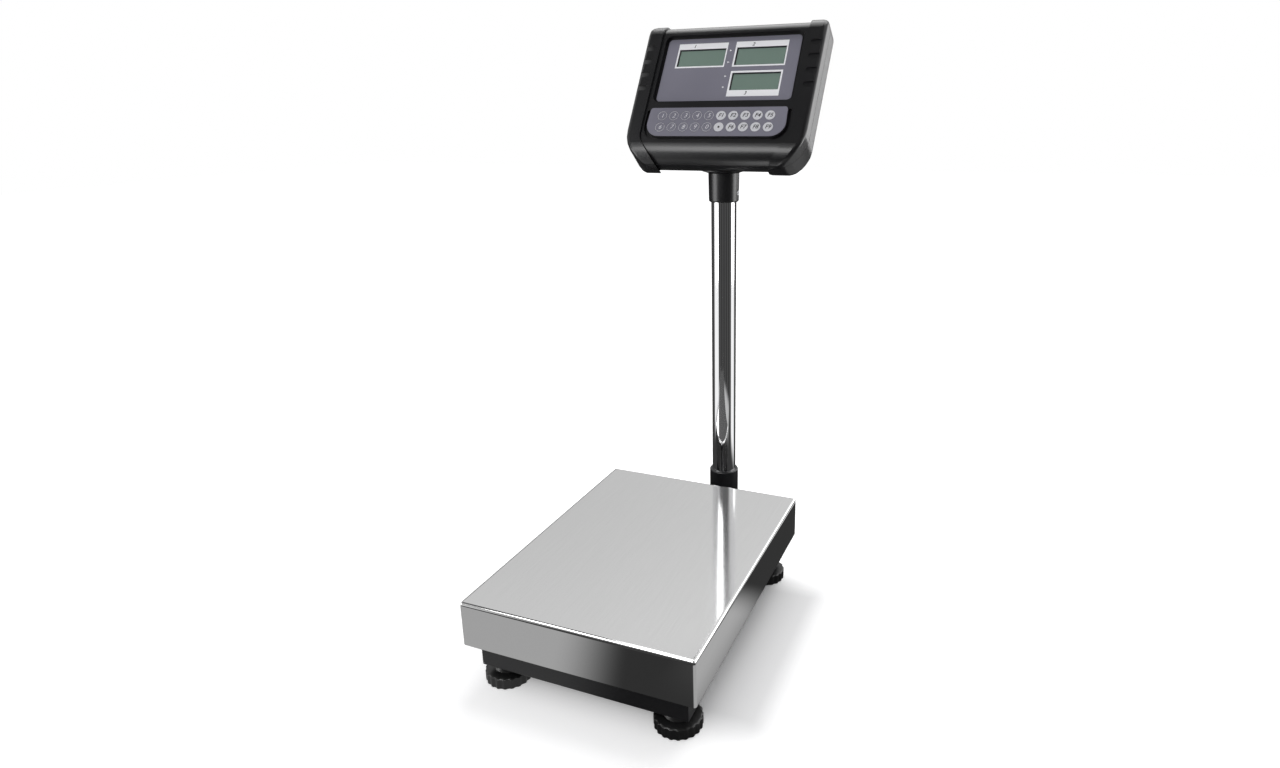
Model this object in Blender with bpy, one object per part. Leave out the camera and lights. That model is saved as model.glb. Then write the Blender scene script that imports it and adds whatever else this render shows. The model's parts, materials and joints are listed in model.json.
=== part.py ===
"""Platform scale with a stainless pan, a chromed column and a tilted counting indicator.

Lengths are metres, angles degrees. +Z is up, +X runs to the right along the pan's short side and
+Y runs back to the column. The origin is on the floor, in the middle of the whole scale's plan.
"""
import math

import bmesh
import bpy
from mathutils import Matrix, Vector

# Play between pieces that touch
GAP = 0.0003

# Pan
PAN_WIDTH = 0.300
PAN_LENGTH = 0.400
PAN_SKIRT = 0.0578
PAN_SHEET = 0.0015
PAN_BEND = 0.0042
PAN_CORNER = 0.0035
BEND_STEPS = 4

# Levelling feet
WHEEL_RADIUS = 0.0285
WHEEL_BAND = 0.0153
WHEEL_HEIGHT = 0.0243
WHEEL_CHAMFER = 0.0015
WHEEL_FLUTES = 20
FLUTE_DEPTH = 0.0013
BOSS_RADIUS = 0.0150
BOSS_TAPER = 0.0024
BOSS_FOOT = 0.0022
BOSS_FOOT_RISE = 0.0012
BOSS_SHOULDER = 0.0055
STUD_RADIUS = 0.005
STUD_LENGTH = 0.040
STUD_SEAT = 0.008
FOOT_INSET = 0.0215
NUT_FLATS = 0.017
NUT_HEIGHT = 0.008

# Base frame, welded from square tube
FRAME_INSET = 0.0148
RAIL = 0.040
RAIL_WALL = 0.002
WELD = 0.0006
BEAM_WIDTH = 0.042
BEAM_HEIGHT = 0.034
BEAM_WALL = 0.003
BEAM_STEP = 0.0014
STOP_RADIUS = 0.006
STOP_PLAY = 0.001

# Load cell and load frame
CELL_LENGTH = 0.130
CELL_WIDTH = 0.030
CELL_HEIGHT = 0.022
CELL_BORE = 0.0075
CELL_BORE_SPACING = 0.034
CELL_SLOT = 0.005
CELL_SCREW_INSET = 0.0125
CELL_SCREW_PITCH = 0.025
M6_RADIUS = 0.003
M6_SIDES = 16
M6_HEAD = 0.0036
M6_HEAD_RADIUS = 0.00525
LOAD_TUBE = 0.025
LOAD_WALL = 0.0015
LOAD_RAIL_OFFSET = 0.098
LOAD_RAIL_LENGTH = 0.340
LOAD_BAR_WIDTH = 0.045
PAD_RADIUS = 0.011
PAD_HEIGHT = 0.0046
PAD_END_INSET = 0.020

# Column, the spigot it stands over, and its two sockets
COLUMN_LENGTH = 0.526
COLUMN_RADIUS = 0.019
COLUMN_WALL = 0.0015
COLUMN_BEHIND_PAN = 0.100
SPIGOT_WALL = 0.003
BASE_SPIGOT_HEIGHT = 0.045
SPIGOT_SIDES = 32
BRACKET_WIDTH = 0.086
BRACKET_HEIGHT = 0.0185
BRACKET_DROP = 0.020
BRACKET_WALL = 0.003
BRACKET_BEHIND_COLUMN = 0.032
SOCKET_RADIUS = 0.0232
SOCKET_HEIGHT = 0.0546
SOCKET_FLANGE = 0.030
SOCKET_FLANGE_THICK = 0.005
SOCKET_RIM = 0.0012
POST_HEIGHT = 0.0427
POST_TAPER = 0.0007
POST_ROOF = 0.007
POST_EDGE = 0.0018
SPIGOT_RADIUS = 0.014
SPIGOT_HEIGHT = 0.012
CABLE_BORE = 0.006
M5_RADIUS = 0.0025
M5_HEAD_RADIUS = 0.0038
M5_HEAD = 0.0013
M5_KEY = 0.0015
SET_SCREW_UP = 0.0133
SET_SCREW_SEAT = 0.0216

# Indicator head, in its own directions: across, up the face, and out of the face
HEAD_TILT = 33.2
FACE_ABOVE_UNDERSIDE = 0.1427
FACE_BEHIND_COLUMN = 0.018
FACE_FRONT = 0.005
FACE_TOP = 0.079
SLAB_BACK = 0.038
SEAM = -0.014
SHELL = 0.0025
LIP_RADIUS = 0.0265
TOP_FRONT_RADIUS = 0.020
TOP_BACK_RADIUS = 0.014
LOW_BACK_RADIUS = 0.004
HEAD_HALF_WIDTH = 0.1388
HEAD_TAPER = 0.0030
TOP_CORNER = 0.015
LOW_CORNER = 0.053
REAR_LOW_CORNER = 0.044
CAP_INNER = 0.113
CAP_PROUD = 0.003
CAP_DROP = 0.0015
CAP_EDGE = 0.006
REAR_EDGE = 0.0025
CURVE_STEP = 12.0
EDGE_STEPS = 4
EDGE_SHARE = 0.45
LEVEL_STEP = 0.0015
CAP_KNEE = -0.118
CAP_SLOPE = 0.774
GRIP_COUNT = 4
GRIP_TOP = 0.034
GRIP_PITCH = 0.0228
GRIP_HEIGHT = 0.009
GRIP_DEPTH = 0.0012
GRIP_INNER = 0.119

# Battery box behind the head, and the boss under it that sits on the column
BULGE_HALF_WIDTH = 0.072
BULGE_FRONT = -0.0505
BULGE_BACK = 0.042
BULGE_CORNER = 0.010
BOSS_DROP = 0.004
BOSS_TOP = 0.036
BOSS_RIM = 0.003
BOSS_BOTTOM = 0.025
SLEEVE_RADIUS = 0.018
SLEEVE_HEIGHT = 0.014
BATTERY_WIDTH = 0.101
BATTERY_DEPTH = 0.047
BATTERY_HEIGHT = 0.070
BATTERY_CORNER = 0.002
BATTERY_SHELF = 0.012
TERMINAL_INSET = 0.015
TERMINAL_HALF = 0.0024
TERMINAL_THICK = 0.0008
TERMINAL_HEIGHT = 0.006
DOOR_MARGIN = 0.0015
DOOR_LAP = 0.004
DOOR_THICK = 0.002
RIDGE_COUNT = 5
RIDGE_PITCH = 0.004
RIDGE_HALF = 0.0008
SWITCH_WIDTH = 0.013
SWITCH_LENGTH = 0.019
SWITCH_TILT = 7.0
SWITCH_DROP = 0.0034
SWITCH_DISH = 0.001
SWITCH_SIDE = 0.0004
SWITCH_ROOF = 0.0057
SWITCH_RISE = 0.005
SWITCH_AT = (0.060, 0.012)
JACK_AT = (-0.060, 0.012)
JACK_FLANGE = 0.0060
JACK_FLANGE_THICK = 0.001
JACK_RADIUS = 0.0045
JACK_BORE = 0.0028
JACK_DEPTH = 0.010
JACK_BORE_DEPTH = 0.008

# Display
WINDOW_WIDTH = 0.207
WINDOW_HEIGHT = 0.1066
WINDOW_CORNER = 0.006
WINDOW_THICK = 0.0008
POCKET_MARGIN = 0.0035
LCD_WIDTH = 0.075
LCD_HEIGHT = 0.0295
LCD_THICK = 0.006
LCD_CARRIER = 0.003
LCD_CENTRES = ((-0.0460, 0.0203), (0.0453, 0.0204), (0.0451, -0.0219))
BOARD_WIDTH = 0.196
BOARD_HEIGHT = 0.100
BOARD_THICK = 0.0016

# The board's larger parts: place across and up, width, height and depth
BOARD_PARTS = (
    (-0.055, 0.020, 0.014, 0.014, 0.003),
    (0.010, 0.028, 0.022, 0.010, 0.004),
    (0.062, 0.006, 0.018, 0.020, 0.008),
    (-0.070, -0.030, 0.010, 0.024, 0.006),
)

# Keypad
KEYPAD_TOP = -0.0688
KEYPAD_BOTTOM = -0.1152
KEYPAD_TOP_HALF = 0.1040
KEYPAD_LOW_HALF = 0.1063
KEYPAD_TOP_CORNER = 0.004
KEYPAD_LOW_CORNER = 0.021
KEYPAD_FACE = 0.0070
KEYPAD_MARGIN = 0.001
MEMBRANE_THICK = 0.0008
MOAT_HALF_WIDTH = 0.1100
MOAT_BOTTOM = -0.1215
MOAT_TOP = -0.0715
MOAT_FLOOR = 0.0005
MOAT_TOP_CORNER = 0.002
MOAT_LOW_CORNER = 0.024
KEY_RADIUS = 0.0073
KEY_THICK = 0.0012
KEY_TRAVEL = 0.0005
KEY_PROUD = 0.0002
KEY_PITCH = 0.0182
KEY_SIDES = 16
KEY_FIRST = -0.0834
KEY_ROWS = (-0.0822, -0.1007)
KEY_NAMES = (
    ("key_1", "key_2", "key_3", "key_4", "key_5",
     "key_unit_weight", "key_pieces", "key_add", "key_recall", "key_preset"),
    ("key_6", "key_7", "key_8", "key_9", "key_0",
     "key_point", "key_clear", "key_check", "key_tare", "key_zero"),
)

# Case screws
CASE_SCREW_AT = ((-0.098, 0.060), (0.098, 0.060), (-0.096, -0.104), (0.096, -0.104))
CASE_POST = 0.0060
CASE_SCREW_RADIUS = 0.0018
CASE_SCREW_HEAD = 0.0036
CASE_SCREW_HEAD_THICK = 0.0025
CASE_SCREW_SINK = 0.012

# Heights that follow from the stack
FRAME_BOTTOM = WHEEL_HEIGHT + GAP
RAIL_TOP = FRAME_BOTTOM + RAIL
BEAM_TOP = RAIL_TOP - BEAM_STEP
CELL_BOTTOM = BEAM_TOP + GAP
CELL_TOP = CELL_BOTTOM + CELL_HEIGHT
LOAD_BOTTOM = CELL_TOP + GAP
LOAD_TOP = LOAD_BOTTOM + LOAD_TUBE
PAD_BOTTOM = LOAD_TOP + GAP
PAN_UNDERSIDE = PAD_BOTTOM + PAD_HEIGHT + GAP
PAN_TOP = PAN_UNDERSIDE + PAN_SHEET
BRACKET_TOP = RAIL_TOP - BRACKET_DROP
SOCKET_BOTTOM = BRACKET_TOP + GAP
COLUMN_BOTTOM = BRACKET_TOP + GAP
SOCKET_TOP = SOCKET_BOTTOM + SOCKET_HEIGHT
COLUMN_TOP = COLUMN_BOTTOM + COLUMN_LENGTH
POST_TOP = COLUMN_TOP + GAP + POST_ROOF
POST_BOTTOM = POST_TOP - POST_HEIGHT
BOSS_LOW = POST_TOP + GAP
UNDERSIDE = BOSS_LOW + BOSS_DROP
FACE_HEIGHT = UNDERSIDE + FACE_ABOVE_UNDERSIDE
FRAME_MIDDLE = FRAME_BOTTOM + RAIL / 2

# Plan places, from the pan's centre
FRAME_HALF_X = PAN_WIDTH / 2 - FRAME_INSET
FRAME_HALF_Y = PAN_LENGTH / 2 - FRAME_INSET
FOOT_X = FRAME_HALF_X - FOOT_INSET
FOOT_Y = FRAME_HALF_Y - FOOT_INSET
COLUMN_Y = PAN_LENGTH / 2 + COLUMN_BEHIND_PAN
FACE_Y = COLUMN_Y + FACE_BEHIND_COLUMN
CELL_SCREW_Y = CELL_LENGTH / 2 - CELL_SCREW_INSET - CELL_SCREW_PITCH / 2

# The head's frame, and its underside as seen from the face's centre
TILT = math.radians(HEAD_TILT)
HEAD_LOW = -FACE_ABOVE_UNDERSIDE
LEVEL = (math.cos(TILT), math.sin(TILT))
LIP_MIDDLE = (HEAD_LOW + LIP_RADIUS - (FACE_FRONT - LIP_RADIUS) * LEVEL[1]) / LEVEL[0]
LOW_EDGE = LIP_RADIUS + CAP_PROUD + CAP_DROP / LEVEL[0] - LIP_MIDDLE
HEAD_DEPTH = FACE_FRONT + SLAB_BACK + 2 * CAP_PROUD

# Depths through the face, out of it
FAR = SLAB_BACK * 4
POCKET_FLOOR = -WINDOW_THICK - GAP
MEMBRANE_LOW = KEYPAD_FACE - MEMBRANE_THICK
PLATEAU = MEMBRANE_LOW - GAP
FRONT_WALL = POCKET_FLOOR - SHELL
LCD_FRONT = FRONT_WALL - GAP
BOARD_FRONT = LCD_FRONT - LCD_THICK - GAP
KEY_LOW = KEYPAD_FACE + KEY_PROUD - KEY_THICK
BULGE_HEAD = (BULGE_BACK * LEVEL[0] - SLAB_BACK + 2 * SHELL) / LEVEL[1]
CASE_SCREW_SEAT = -SLAB_BACK + CASE_SCREW_SINK


def rear_reach():
    """How far the head's rounded top corner reaches behind the face's centre."""
    up = FACE_TOP - TOP_BACK_RADIUS
    back = SLAB_BACK - TOP_BACK_RADIUS
    return up * math.sin(TILT) + back * math.cos(TILT) + TOP_BACK_RADIUS + CAP_PROUD


PLAN_SHIFT = (PAN_LENGTH / 2 - FACE_Y - rear_reach()) / 2


# Colours, roughness and metallic value of each material
FINISHES = {
    "brushed_stainless": ((0.62, 0.61, 0.59), 0.28, 1.0),
    "chrome_plate": ((0.80, 0.80, 0.80), 0.06, 1.0),
    "black_frame_paint": ((0.020, 0.020, 0.022), 0.45, 0.0),
    "black_plastic": ((0.016, 0.016, 0.018), 0.38, 0.0),
    "gloss_black_plastic": ((0.010, 0.010, 0.011), 0.18, 0.0),
    "foot_plastic": ((0.012, 0.012, 0.012), 0.42, 0.0),
    "zinc_steel": ((0.55, 0.56, 0.58), 0.30, 1.0),
    "cell_aluminium": ((0.70, 0.70, 0.71), 0.35, 1.0),
    "pad_rubber": ((0.025, 0.025, 0.025), 0.80, 0.0),
    "panel_print": ((0.17, 0.165, 0.21), 0.30, 0.0),
    "key_print": ((0.60, 0.60, 0.63), 0.40, 0.0),
    "lcd_glass": ((0.16, 0.22, 0.19), 0.15, 0.0),
    "board_green": ((0.02, 0.16, 0.06), 0.50, 0.0),
    "battery_case": ((0.05, 0.05, 0.06), 0.55, 0.0),
}


def material(finish):
    """The named Principled material, made on first use."""
    found = bpy.data.materials.get(finish)
    if found:
        return found
    colour, roughness, metallic = FINISHES[finish]
    made = bpy.data.materials.new(finish)
    made.use_nodes = True
    shader = made.node_tree.nodes["Principled BSDF"]
    shader.inputs["Base Color"].default_value = (*colour, 1.0)
    shader.inputs["Roughness"].default_value = roughness
    shader.inputs["Metallic"].default_value = metallic
    made.diffuse_color = (*colour, 1.0)
    return made


# Outlines


def arc(centre, radius, start, end, steps):
    """Points on an arc, angles in degrees, both ends included."""
    turn = math.radians(end - start) / steps
    first = math.radians(start)
    return [(centre[0] + radius * math.cos(first + i * turn),
             centre[1] + radius * math.sin(first + i * turn)) for i in range(steps + 1)]


def rounded(corners, step=12.0, steps=0):
    """A closed outline from corners (x, y, radius), with a point every step of degrees, or in equal steps."""
    points = []
    count = len(corners)
    for i, (x, y, radius) in enumerate(corners):
        here = Vector((x, y))
        before = (Vector(corners[i - 1][:2]) - here).normalized()
        after = (Vector(corners[(i + 1) % count][:2]) - here).normalized()
        if radius <= 0:
            points.append((x, y))
            continue
        half = before.angle(after) / 2
        reach = radius / math.tan(half)
        centre = here + (before + after).normalized() * (radius / math.sin(half))
        start = here + before * reach - centre
        turn = math.pi - 2 * half
        if before.x * after.y - before.y * after.x > 0:
            turn = -turn
        parts = steps or max(2, round(abs(math.degrees(turn)) / step))
        for k in range(parts + 1):
            spun = start.copy()
            spun.rotate(Matrix.Rotation(turn * k / parts, 2))
            points.append(tuple(centre + spun))
    return points


def rectangle(x_low, x_high, y_low, y_high, radius=0.0):
    """Corners of a rectangle for rounded()."""
    return [(x_low, y_low, radius), (x_high, y_low, radius),
            (x_high, y_high, radius), (x_low, y_high, radius)]


def rectangle_points(x, y):
    """A plain rectangle's points from two (low, high) pairs."""
    return [(x[0], y[0]), (x[1], y[0]), (x[1], y[1]), (x[0], y[1])]


def circle(x, y, radius, steps=24):
    """Points round a full circle."""
    return arc((x, y), radius, 0, 360 - 360 / steps, steps - 1)


# Solids, gathered in a bmesh


def place_xy(a, b, c):
    """Outline across and back, height up."""
    return Vector((a, b, c))


def place_yz(a, b, c):
    """Outline back and up, length across."""
    return Vector((c, a, b))


def place_xz(a, b, c):
    """Outline across and up, length back."""
    return Vector((a, c, b))


def place_side(a, b, c):
    """Head outline up the face and out of it, length across."""
    return Vector((c, a, b))


def loft(body, rings, closed=False):
    """Skin a row of rings with equal counts of points; open rows are capped at both ends."""
    skin = [[body.verts.new(point) for point in ring] for ring in rings]
    rows = list(zip(skin, skin[1:]))
    if closed:
        rows.append((skin[-1], skin[0]))
    faces = []
    for low, high in rows:
        for i in range(len(low)):
            j = (i + 1) % len(low)
            faces.append(body.faces.new((low[i], low[j], high[j], high[i])))
    if not closed:
        faces.append(body.faces.new(list(reversed(skin[0]))))
        faces.append(body.faces.new(skin[-1]))
    bmesh.ops.recalc_face_normals(body, faces=faces)
    return body


def prism(body, outline, low, high, place=place_xy):
    """A straight prism on an outline."""
    return loft(body, [[place(a, b, low) for a, b in outline], [place(a, b, high) for a, b in outline]])


def box(body, x, y, z):
    """A box from three (low, high) pairs."""
    return prism(body, rectangle_points(x, y), z[0], z[1])


def tube(body, outer, inner, low, high, place=place_xy):
    """A straight tube between two outlines with equal counts of points."""
    rings = [[place(a, b, low) for a, b in outer], [place(a, b, high) for a, b in outer],
             [place(a, b, high) for a, b in inner], [place(a, b, low) for a, b in inner]]
    return loft(body, rings, closed=True)


def turned(body, profile, centre=(0.0, 0.0), steps=32, closed=False):
    """A turned piece from (radius, height) pairs; a closed profile leaves a bore."""
    rings = []
    for radius, height in profile:
        rings.append([Vector((centre[0] + radius * math.cos(2 * math.pi * i / steps),
                              centre[1] + radius * math.sin(2 * math.pi * i / steps),
                              height)) for i in range(steps)])
    return loft(body, rings, closed)


def hexagon(x, y, flats):
    """A nut's outline."""
    return circle(x, y, flats / math.sqrt(3), 6)


# Objects


def new_object(name, body, parent, finish=None):
    """Turn a bmesh into a named object under a parent."""
    mesh = bpy.data.meshes.new(name)
    body.to_mesh(mesh)
    body.free()
    mesh.shade_smooth()
    mesh.set_sharp_from_angle(angle=math.radians(30))
    made = bpy.data.objects.new(name, mesh)
    bpy.context.scene.collection.objects.link(made)
    made.parent = parent
    if finish:
        mesh.materials.append(material(finish))
    return made


def copy_object(name, original):
    """Another object on the same mesh."""
    made = bpy.data.objects.new(name, original.data)
    bpy.context.scene.collection.objects.link(made)
    made.parent = original.parent
    return made


def combine(piece, name, fill, operation):
    """Boolean a piece with the solids that fill() puts in a cutter."""
    body = bmesh.new()
    fill(body)
    cutter = new_object(f"{piece.name}_{name}", body, piece.parent)
    cutter.hide_render = True
    cutter.display_type = "WIRE"
    change = piece.modifiers.new(name, "BOOLEAN")
    change.operation = operation
    change.solver = "EXACT"
    change.use_self = operation == "UNION"
    change.object = cutter
    return piece


def cut(piece, name, fill):
    """Take solids out of a piece."""
    return combine(piece, name, fill, "DIFFERENCE")


def add(piece, name, fill):
    """Weld solids to a piece."""
    return combine(piece, name, fill, "UNION")


def keep(piece, name, fill):
    """Keep only what lies inside a solid."""
    return combine(piece, name, fill, "INTERSECT")


def pivot(name, location, parent=None, rotation=None):
    """An empty that carries pieces."""
    made = bpy.data.objects.new(name, None)
    bpy.context.scene.collection.objects.link(made)
    made.location = location
    made.parent = parent
    if rotation:
        made.rotation_euler = rotation
    made.empty_display_size = 0.03
    return made


# Base frame


def ring_of_tube(body, half, wall):
    """A square tube run round the base's four sides, mitred at the corners."""
    reach_x = FRAME_HALF_X - RAIL / 2
    reach_y = FRAME_HALF_Y - RAIL / 2
    rings = []
    for side_x, side_y in ((-1, -1), (1, -1), (1, 1), (-1, 1)):
        rings.append([Vector((side_x * (reach_x + a), side_y * (reach_y + a), FRAME_MIDDLE + b))
                      for a, b in rounded(rectangle(-half, half, -half, half, wall), 30.0)])
    loft(body, rings, closed=True)


def channel(body, half, low, high, wall, reach):
    """An inverted channel across the base, over the cell's fixed screws: a web on top of two flanges."""
    near, far = CELL_SCREW_Y - half, CELL_SCREW_Y + half
    outline = [(near, low), (near, high), (far, high), (far, low), (far - wall, low),
               (far - wall, high - wall), (near + wall, high - wall), (near + wall, low)]
    prism(body, outline, -reach, reach, place_yz)


def screw_row(y):
    """The two places along the cell of one end's screws."""
    return (y - CELL_SCREW_PITCH / 2, y + CELL_SCREW_PITCH / 2)


def corners(x, y):
    """Four named places, the same way out from the middle."""
    return {"front_left": (-x, -y), "front_right": (x, -y), "rear_left": (-x, y), "rear_right": (x, y)}


def stop_places():
    """The overload stops stand under the load frame's rails, near their ends."""
    return corners(LOAD_RAIL_OFFSET, FRAME_HALF_Y - RAIL / 2).values()


def foot_places():
    """The four feet's axes."""
    return corners(FOOT_X, FOOT_Y)


def bracket_outline(inset, front):
    """The column bracket seen from above, its far corners rounded."""
    half = BRACKET_WIDTH / 2 - inset
    back = COLUMN_Y + BRACKET_BEHIND_COLUMN - inset
    corner = BRACKET_WIDTH / 4 - inset
    return rounded([(-half, front, 0), (half, front, 0), (half, back, corner), (-half, back, corner)])


def base_frame(parent):
    """The welded base: four tube rails, the cell's beam, the column's bracket, nuts and stops."""
    body = bmesh.new()
    ring_of_tube(body, RAIL / 2, RAIL_WALL)
    frame = new_object("base_frame", body, parent, "black_frame_paint")
    beam_reach = FRAME_HALF_X - RAIL + WELD
    bracket_front = FRAME_HALF_Y - WELD
    spigot = COLUMN_RADIUS - COLUMN_WALL - GAP
    spigot_top = BRACKET_TOP + BASE_SPIGOT_HEIGHT

    def hollow(inside):
        ring_of_tube(inside, RAIL / 2 - RAIL_WALL, RAIL_WALL / 2)

    def beam(inside):
        channel(inside, BEAM_WIDTH / 2, BEAM_TOP - BEAM_HEIGHT, BEAM_TOP, BEAM_WALL, beam_reach)

    def bracket(inside):
        prism(inside, bracket_outline(0, bracket_front), BRACKET_TOP - BRACKET_HEIGHT, BRACKET_TOP)

    def column_spigot(inside):
        turned(inside, [(spigot, BRACKET_TOP - BRACKET_WALL / 2), (spigot, spigot_top - SPIGOT_WALL),
                        (spigot - SPIGOT_WALL / 2, spigot_top)], (0, COLUMN_Y), SPIGOT_SIDES)

    def nuts(inside):
        for x, y in foot_places().values():
            prism(inside, hexagon(x, y, NUT_FLATS), FRAME_BOTTOM + WELD,
                  FRAME_BOTTOM + RAIL_WALL + NUT_HEIGHT)

    def stops(inside):
        for place in stop_places():
            turned(inside, [(STOP_RADIUS, RAIL_TOP - WELD), (STOP_RADIUS, LOAD_BOTTOM - STOP_PLAY - WELD),
                            (STOP_RADIUS - WELD, LOAD_BOTTOM - STOP_PLAY)], place, 20)

    def bracket_hollow(inside):
        prism(inside, bracket_outline(BRACKET_WALL, FRAME_HALF_Y + BRACKET_WALL),
              BRACKET_TOP - BRACKET_HEIGHT - BRACKET_WALL, BRACKET_TOP - BRACKET_WALL)

    def cable_way(inside):
        prism(inside, circle(0, COLUMN_Y, spigot - SPIGOT_WALL, SPIGOT_SIDES),
              BRACKET_TOP - 2 * BRACKET_WALL, spigot_top + BASE_SPIGOT_HEIGHT)

    def stud_bores(inside):
        for x, y in foot_places().values():
            prism(inside, circle(x, y, STUD_RADIUS + GAP), FRAME_BOTTOM - RAIL_WALL, FRAME_MIDDLE)

    def cell_holes(inside):
        for y in screw_row(CELL_SCREW_Y):
            prism(inside, circle(0, y, M6_RADIUS + GAP, M6_SIDES), BEAM_TOP - 2 * BEAM_WALL,
                  BEAM_TOP + BEAM_WALL)

    cut(frame, "hollow", hollow)
    for name, fill in (("beam", beam), ("bracket", bracket), ("column_spigot", column_spigot),
                       ("nuts", nuts), ("stops", stops)):
        add(frame, name, fill)
    for name, fill in (("bracket_hollow", bracket_hollow), ("cable_way", cable_way),
                       ("stud_bores", stud_bores), ("cell_holes", cell_holes)):
        cut(frame, name, fill)
    return frame


# Load cell and load frame


def load_cell(parent):
    """A single-point cell: a bar with two round holes joined by a slot through its middle."""
    half = CELL_LENGTH / 2
    middle = (CELL_BOTTOM + CELL_TOP) / 2
    body = bmesh.new()
    box(body, (-CELL_WIDTH / 2, CELL_WIDTH / 2), (-half, half), (CELL_BOTTOM, CELL_TOP))
    cell = new_object("load_cell", body, parent, "cell_aluminium")

    def window(inside):
        reach = CELL_BORE_SPACING / 2
        slot = math.degrees(math.asin(CELL_SLOT / 2 / CELL_BORE))
        outline = (arc((reach, middle), CELL_BORE, slot - 180, 180 - slot, 20)
                   + arc((-reach, middle), CELL_BORE, slot, 360 - slot, 20))
        prism(inside, outline, -CELL_WIDTH, CELL_WIDTH, place_yz)

    def threads(inside):
        for end, low, high in ((1, CELL_BOTTOM, middle), (-1, middle, CELL_TOP)):
            for y in screw_row(end * CELL_SCREW_Y):
                edge = CELL_HEIGHT / 4
                low_end = low - edge if end > 0 else low
                high_end = high if end > 0 else high + edge
                prism(inside, circle(0, y, M6_RADIUS + GAP, M6_SIDES), low_end, high_end)

    cut(cell, "window", window)
    return cut(cell, "threads", threads)


def cell_screw(name, parent, y, tip, seat, way):
    """One screw into the cell, from its tip to its head's seat; way is -1 where the head is below."""
    top = seat + way * M6_HEAD
    shoulder = top - way * M6_HEAD * 0.2
    profile = [(M6_RADIUS, tip), (M6_RADIUS, seat), (M6_HEAD_RADIUS, seat), (M6_HEAD_RADIUS, shoulder),
               (M6_HEAD_RADIUS * 0.85, top)]
    body = bmesh.new()
    turned(body, profile, (0, y), M6_SIDES)
    new_object(name, body, parent, "zinc_steel")


def cell_screws(parent):
    """Two screws up into the cell's fixed end and two down into its free end."""
    grip = M6_RADIUS * 3
    web = BEAM_TOP - BEAM_WALL - GAP
    for end, y in zip(("front", "rear"), screw_row(CELL_SCREW_Y)):
        cell_screw(f"cell_screw_fixed_{end}", parent, y, CELL_BOTTOM + grip, web, -1)
    for end, y in zip(("front", "rear"), screw_row(-CELL_SCREW_Y)):
        cell_screw(f"cell_screw_free_{end}", parent, y, CELL_TOP - grip, LOAD_TOP + GAP, 1)


def load_frame(parent):
    """Two long tubes and a crossbar, welded, that stand on the cell's free end."""
    middle = (LOAD_BOTTOM + LOAD_TOP) / 2
    half = LOAD_TUBE / 2
    reach = LOAD_RAIL_OFFSET - half
    bar = LOAD_BAR_WIDTH / 2
    crossbar = rectangle(-CELL_SCREW_Y - bar, -CELL_SCREW_Y + bar, LOAD_BOTTOM, LOAD_TOP, LOAD_WALL)
    body = bmesh.new()
    prism(body, rounded(crossbar), -LOAD_RAIL_OFFSET, LOAD_RAIL_OFFSET, place_yz)
    frame = new_object("load_frame", body, parent, "black_frame_paint")

    def rails(inside):
        for x in (-LOAD_RAIL_OFFSET, LOAD_RAIL_OFFSET):
            outline = rounded(rectangle(x - half, x + half, LOAD_BOTTOM, LOAD_TOP, LOAD_WALL))
            prism(inside, outline, -LOAD_RAIL_LENGTH / 2, LOAD_RAIL_LENGTH / 2, place_xz)

    def rail_bores(inside):
        bore = half - LOAD_WALL
        for x in (-LOAD_RAIL_OFFSET, LOAD_RAIL_OFFSET):
            box(inside, (x - bore, x + bore), (-LOAD_RAIL_LENGTH, LOAD_RAIL_LENGTH),
                (middle - bore, middle + bore))

    def bar_bore(inside):
        inner = bar - LOAD_WALL
        box(inside, (-reach, reach), (-CELL_SCREW_Y - inner, -CELL_SCREW_Y + inner),
            (LOAD_BOTTOM + LOAD_WALL, LOAD_TOP - LOAD_WALL))

    def screw_holes(inside):
        for y in screw_row(-CELL_SCREW_Y):
            prism(inside, circle(0, y, M6_RADIUS + GAP, M6_SIDES), LOAD_BOTTOM - LOAD_WALL,
                  LOAD_TOP + LOAD_WALL)

    add(frame, "rails", rails)
    cut(frame, "rail_bores", rail_bores)
    cut(frame, "bar_bore", bar_bore)
    return cut(frame, "screw_holes", screw_holes)


def pan_pads(parent):
    """Four rubber pads on the load frame that the pan rests on."""
    profile = [(PAD_RADIUS, 0.0), (PAD_RADIUS, PAD_HEIGHT * 0.6), (PAD_RADIUS * 0.85, PAD_HEIGHT)]
    body = bmesh.new()
    turned(body, profile, steps=24)
    first = None
    for mark, (x, y) in corners(LOAD_RAIL_OFFSET, LOAD_RAIL_LENGTH / 2 - PAD_END_INSET).items():
        name = f"pan_pad_{mark}"
        pad = copy_object(name, first) if first else new_object(name, body, parent, "pad_rubber")
        pad.location = (x, y, PAD_BOTTOM)
        first = first or pad


def pan_rings(inset, top):
    """Rings up one face of the pan: the skirt's edge, then the bend onto the top."""
    bend = PAN_BEND - inset
    places = [(0.0, PAN_TOP - PAN_SKIRT)]
    for k in range(BEND_STEPS + 1):
        turn = math.radians(90.0 * k / BEND_STEPS)
        places.append((bend * (1 - math.cos(turn)), top - bend * (1 - math.sin(turn))))
    rings = []
    for back, height in places:
        half_x = PAN_WIDTH / 2 - inset - back
        half_y = PAN_LENGTH / 2 - inset - back
        corner = max(PAN_CORNER - inset - back, GAP)
        outline = rounded(rectangle(-half_x, half_x, -half_y, half_y, corner))
        rings.append([Vector((a, b, height)) for a, b in outline])
    return rings


def pan(parent):
    """The folded stainless pan: a top with four skirts, open below."""
    body = bmesh.new()
    loft(body, list(reversed(pan_rings(0.0, PAN_TOP))) + pan_rings(PAN_SHEET, PAN_UNDERSIDE))
    return new_object("pan", body, parent, "brushed_stainless")


# Feet


def flute(angle, radius):
    """The fluted wheel's radius at an angle: flat ridges with round grooves between them."""
    phase = (angle * WHEEL_FLUTES / (2 * math.pi)) % 1.0
    return radius - FLUTE_DEPTH if 0.5 <= phase < 1.0 else radius


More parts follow.
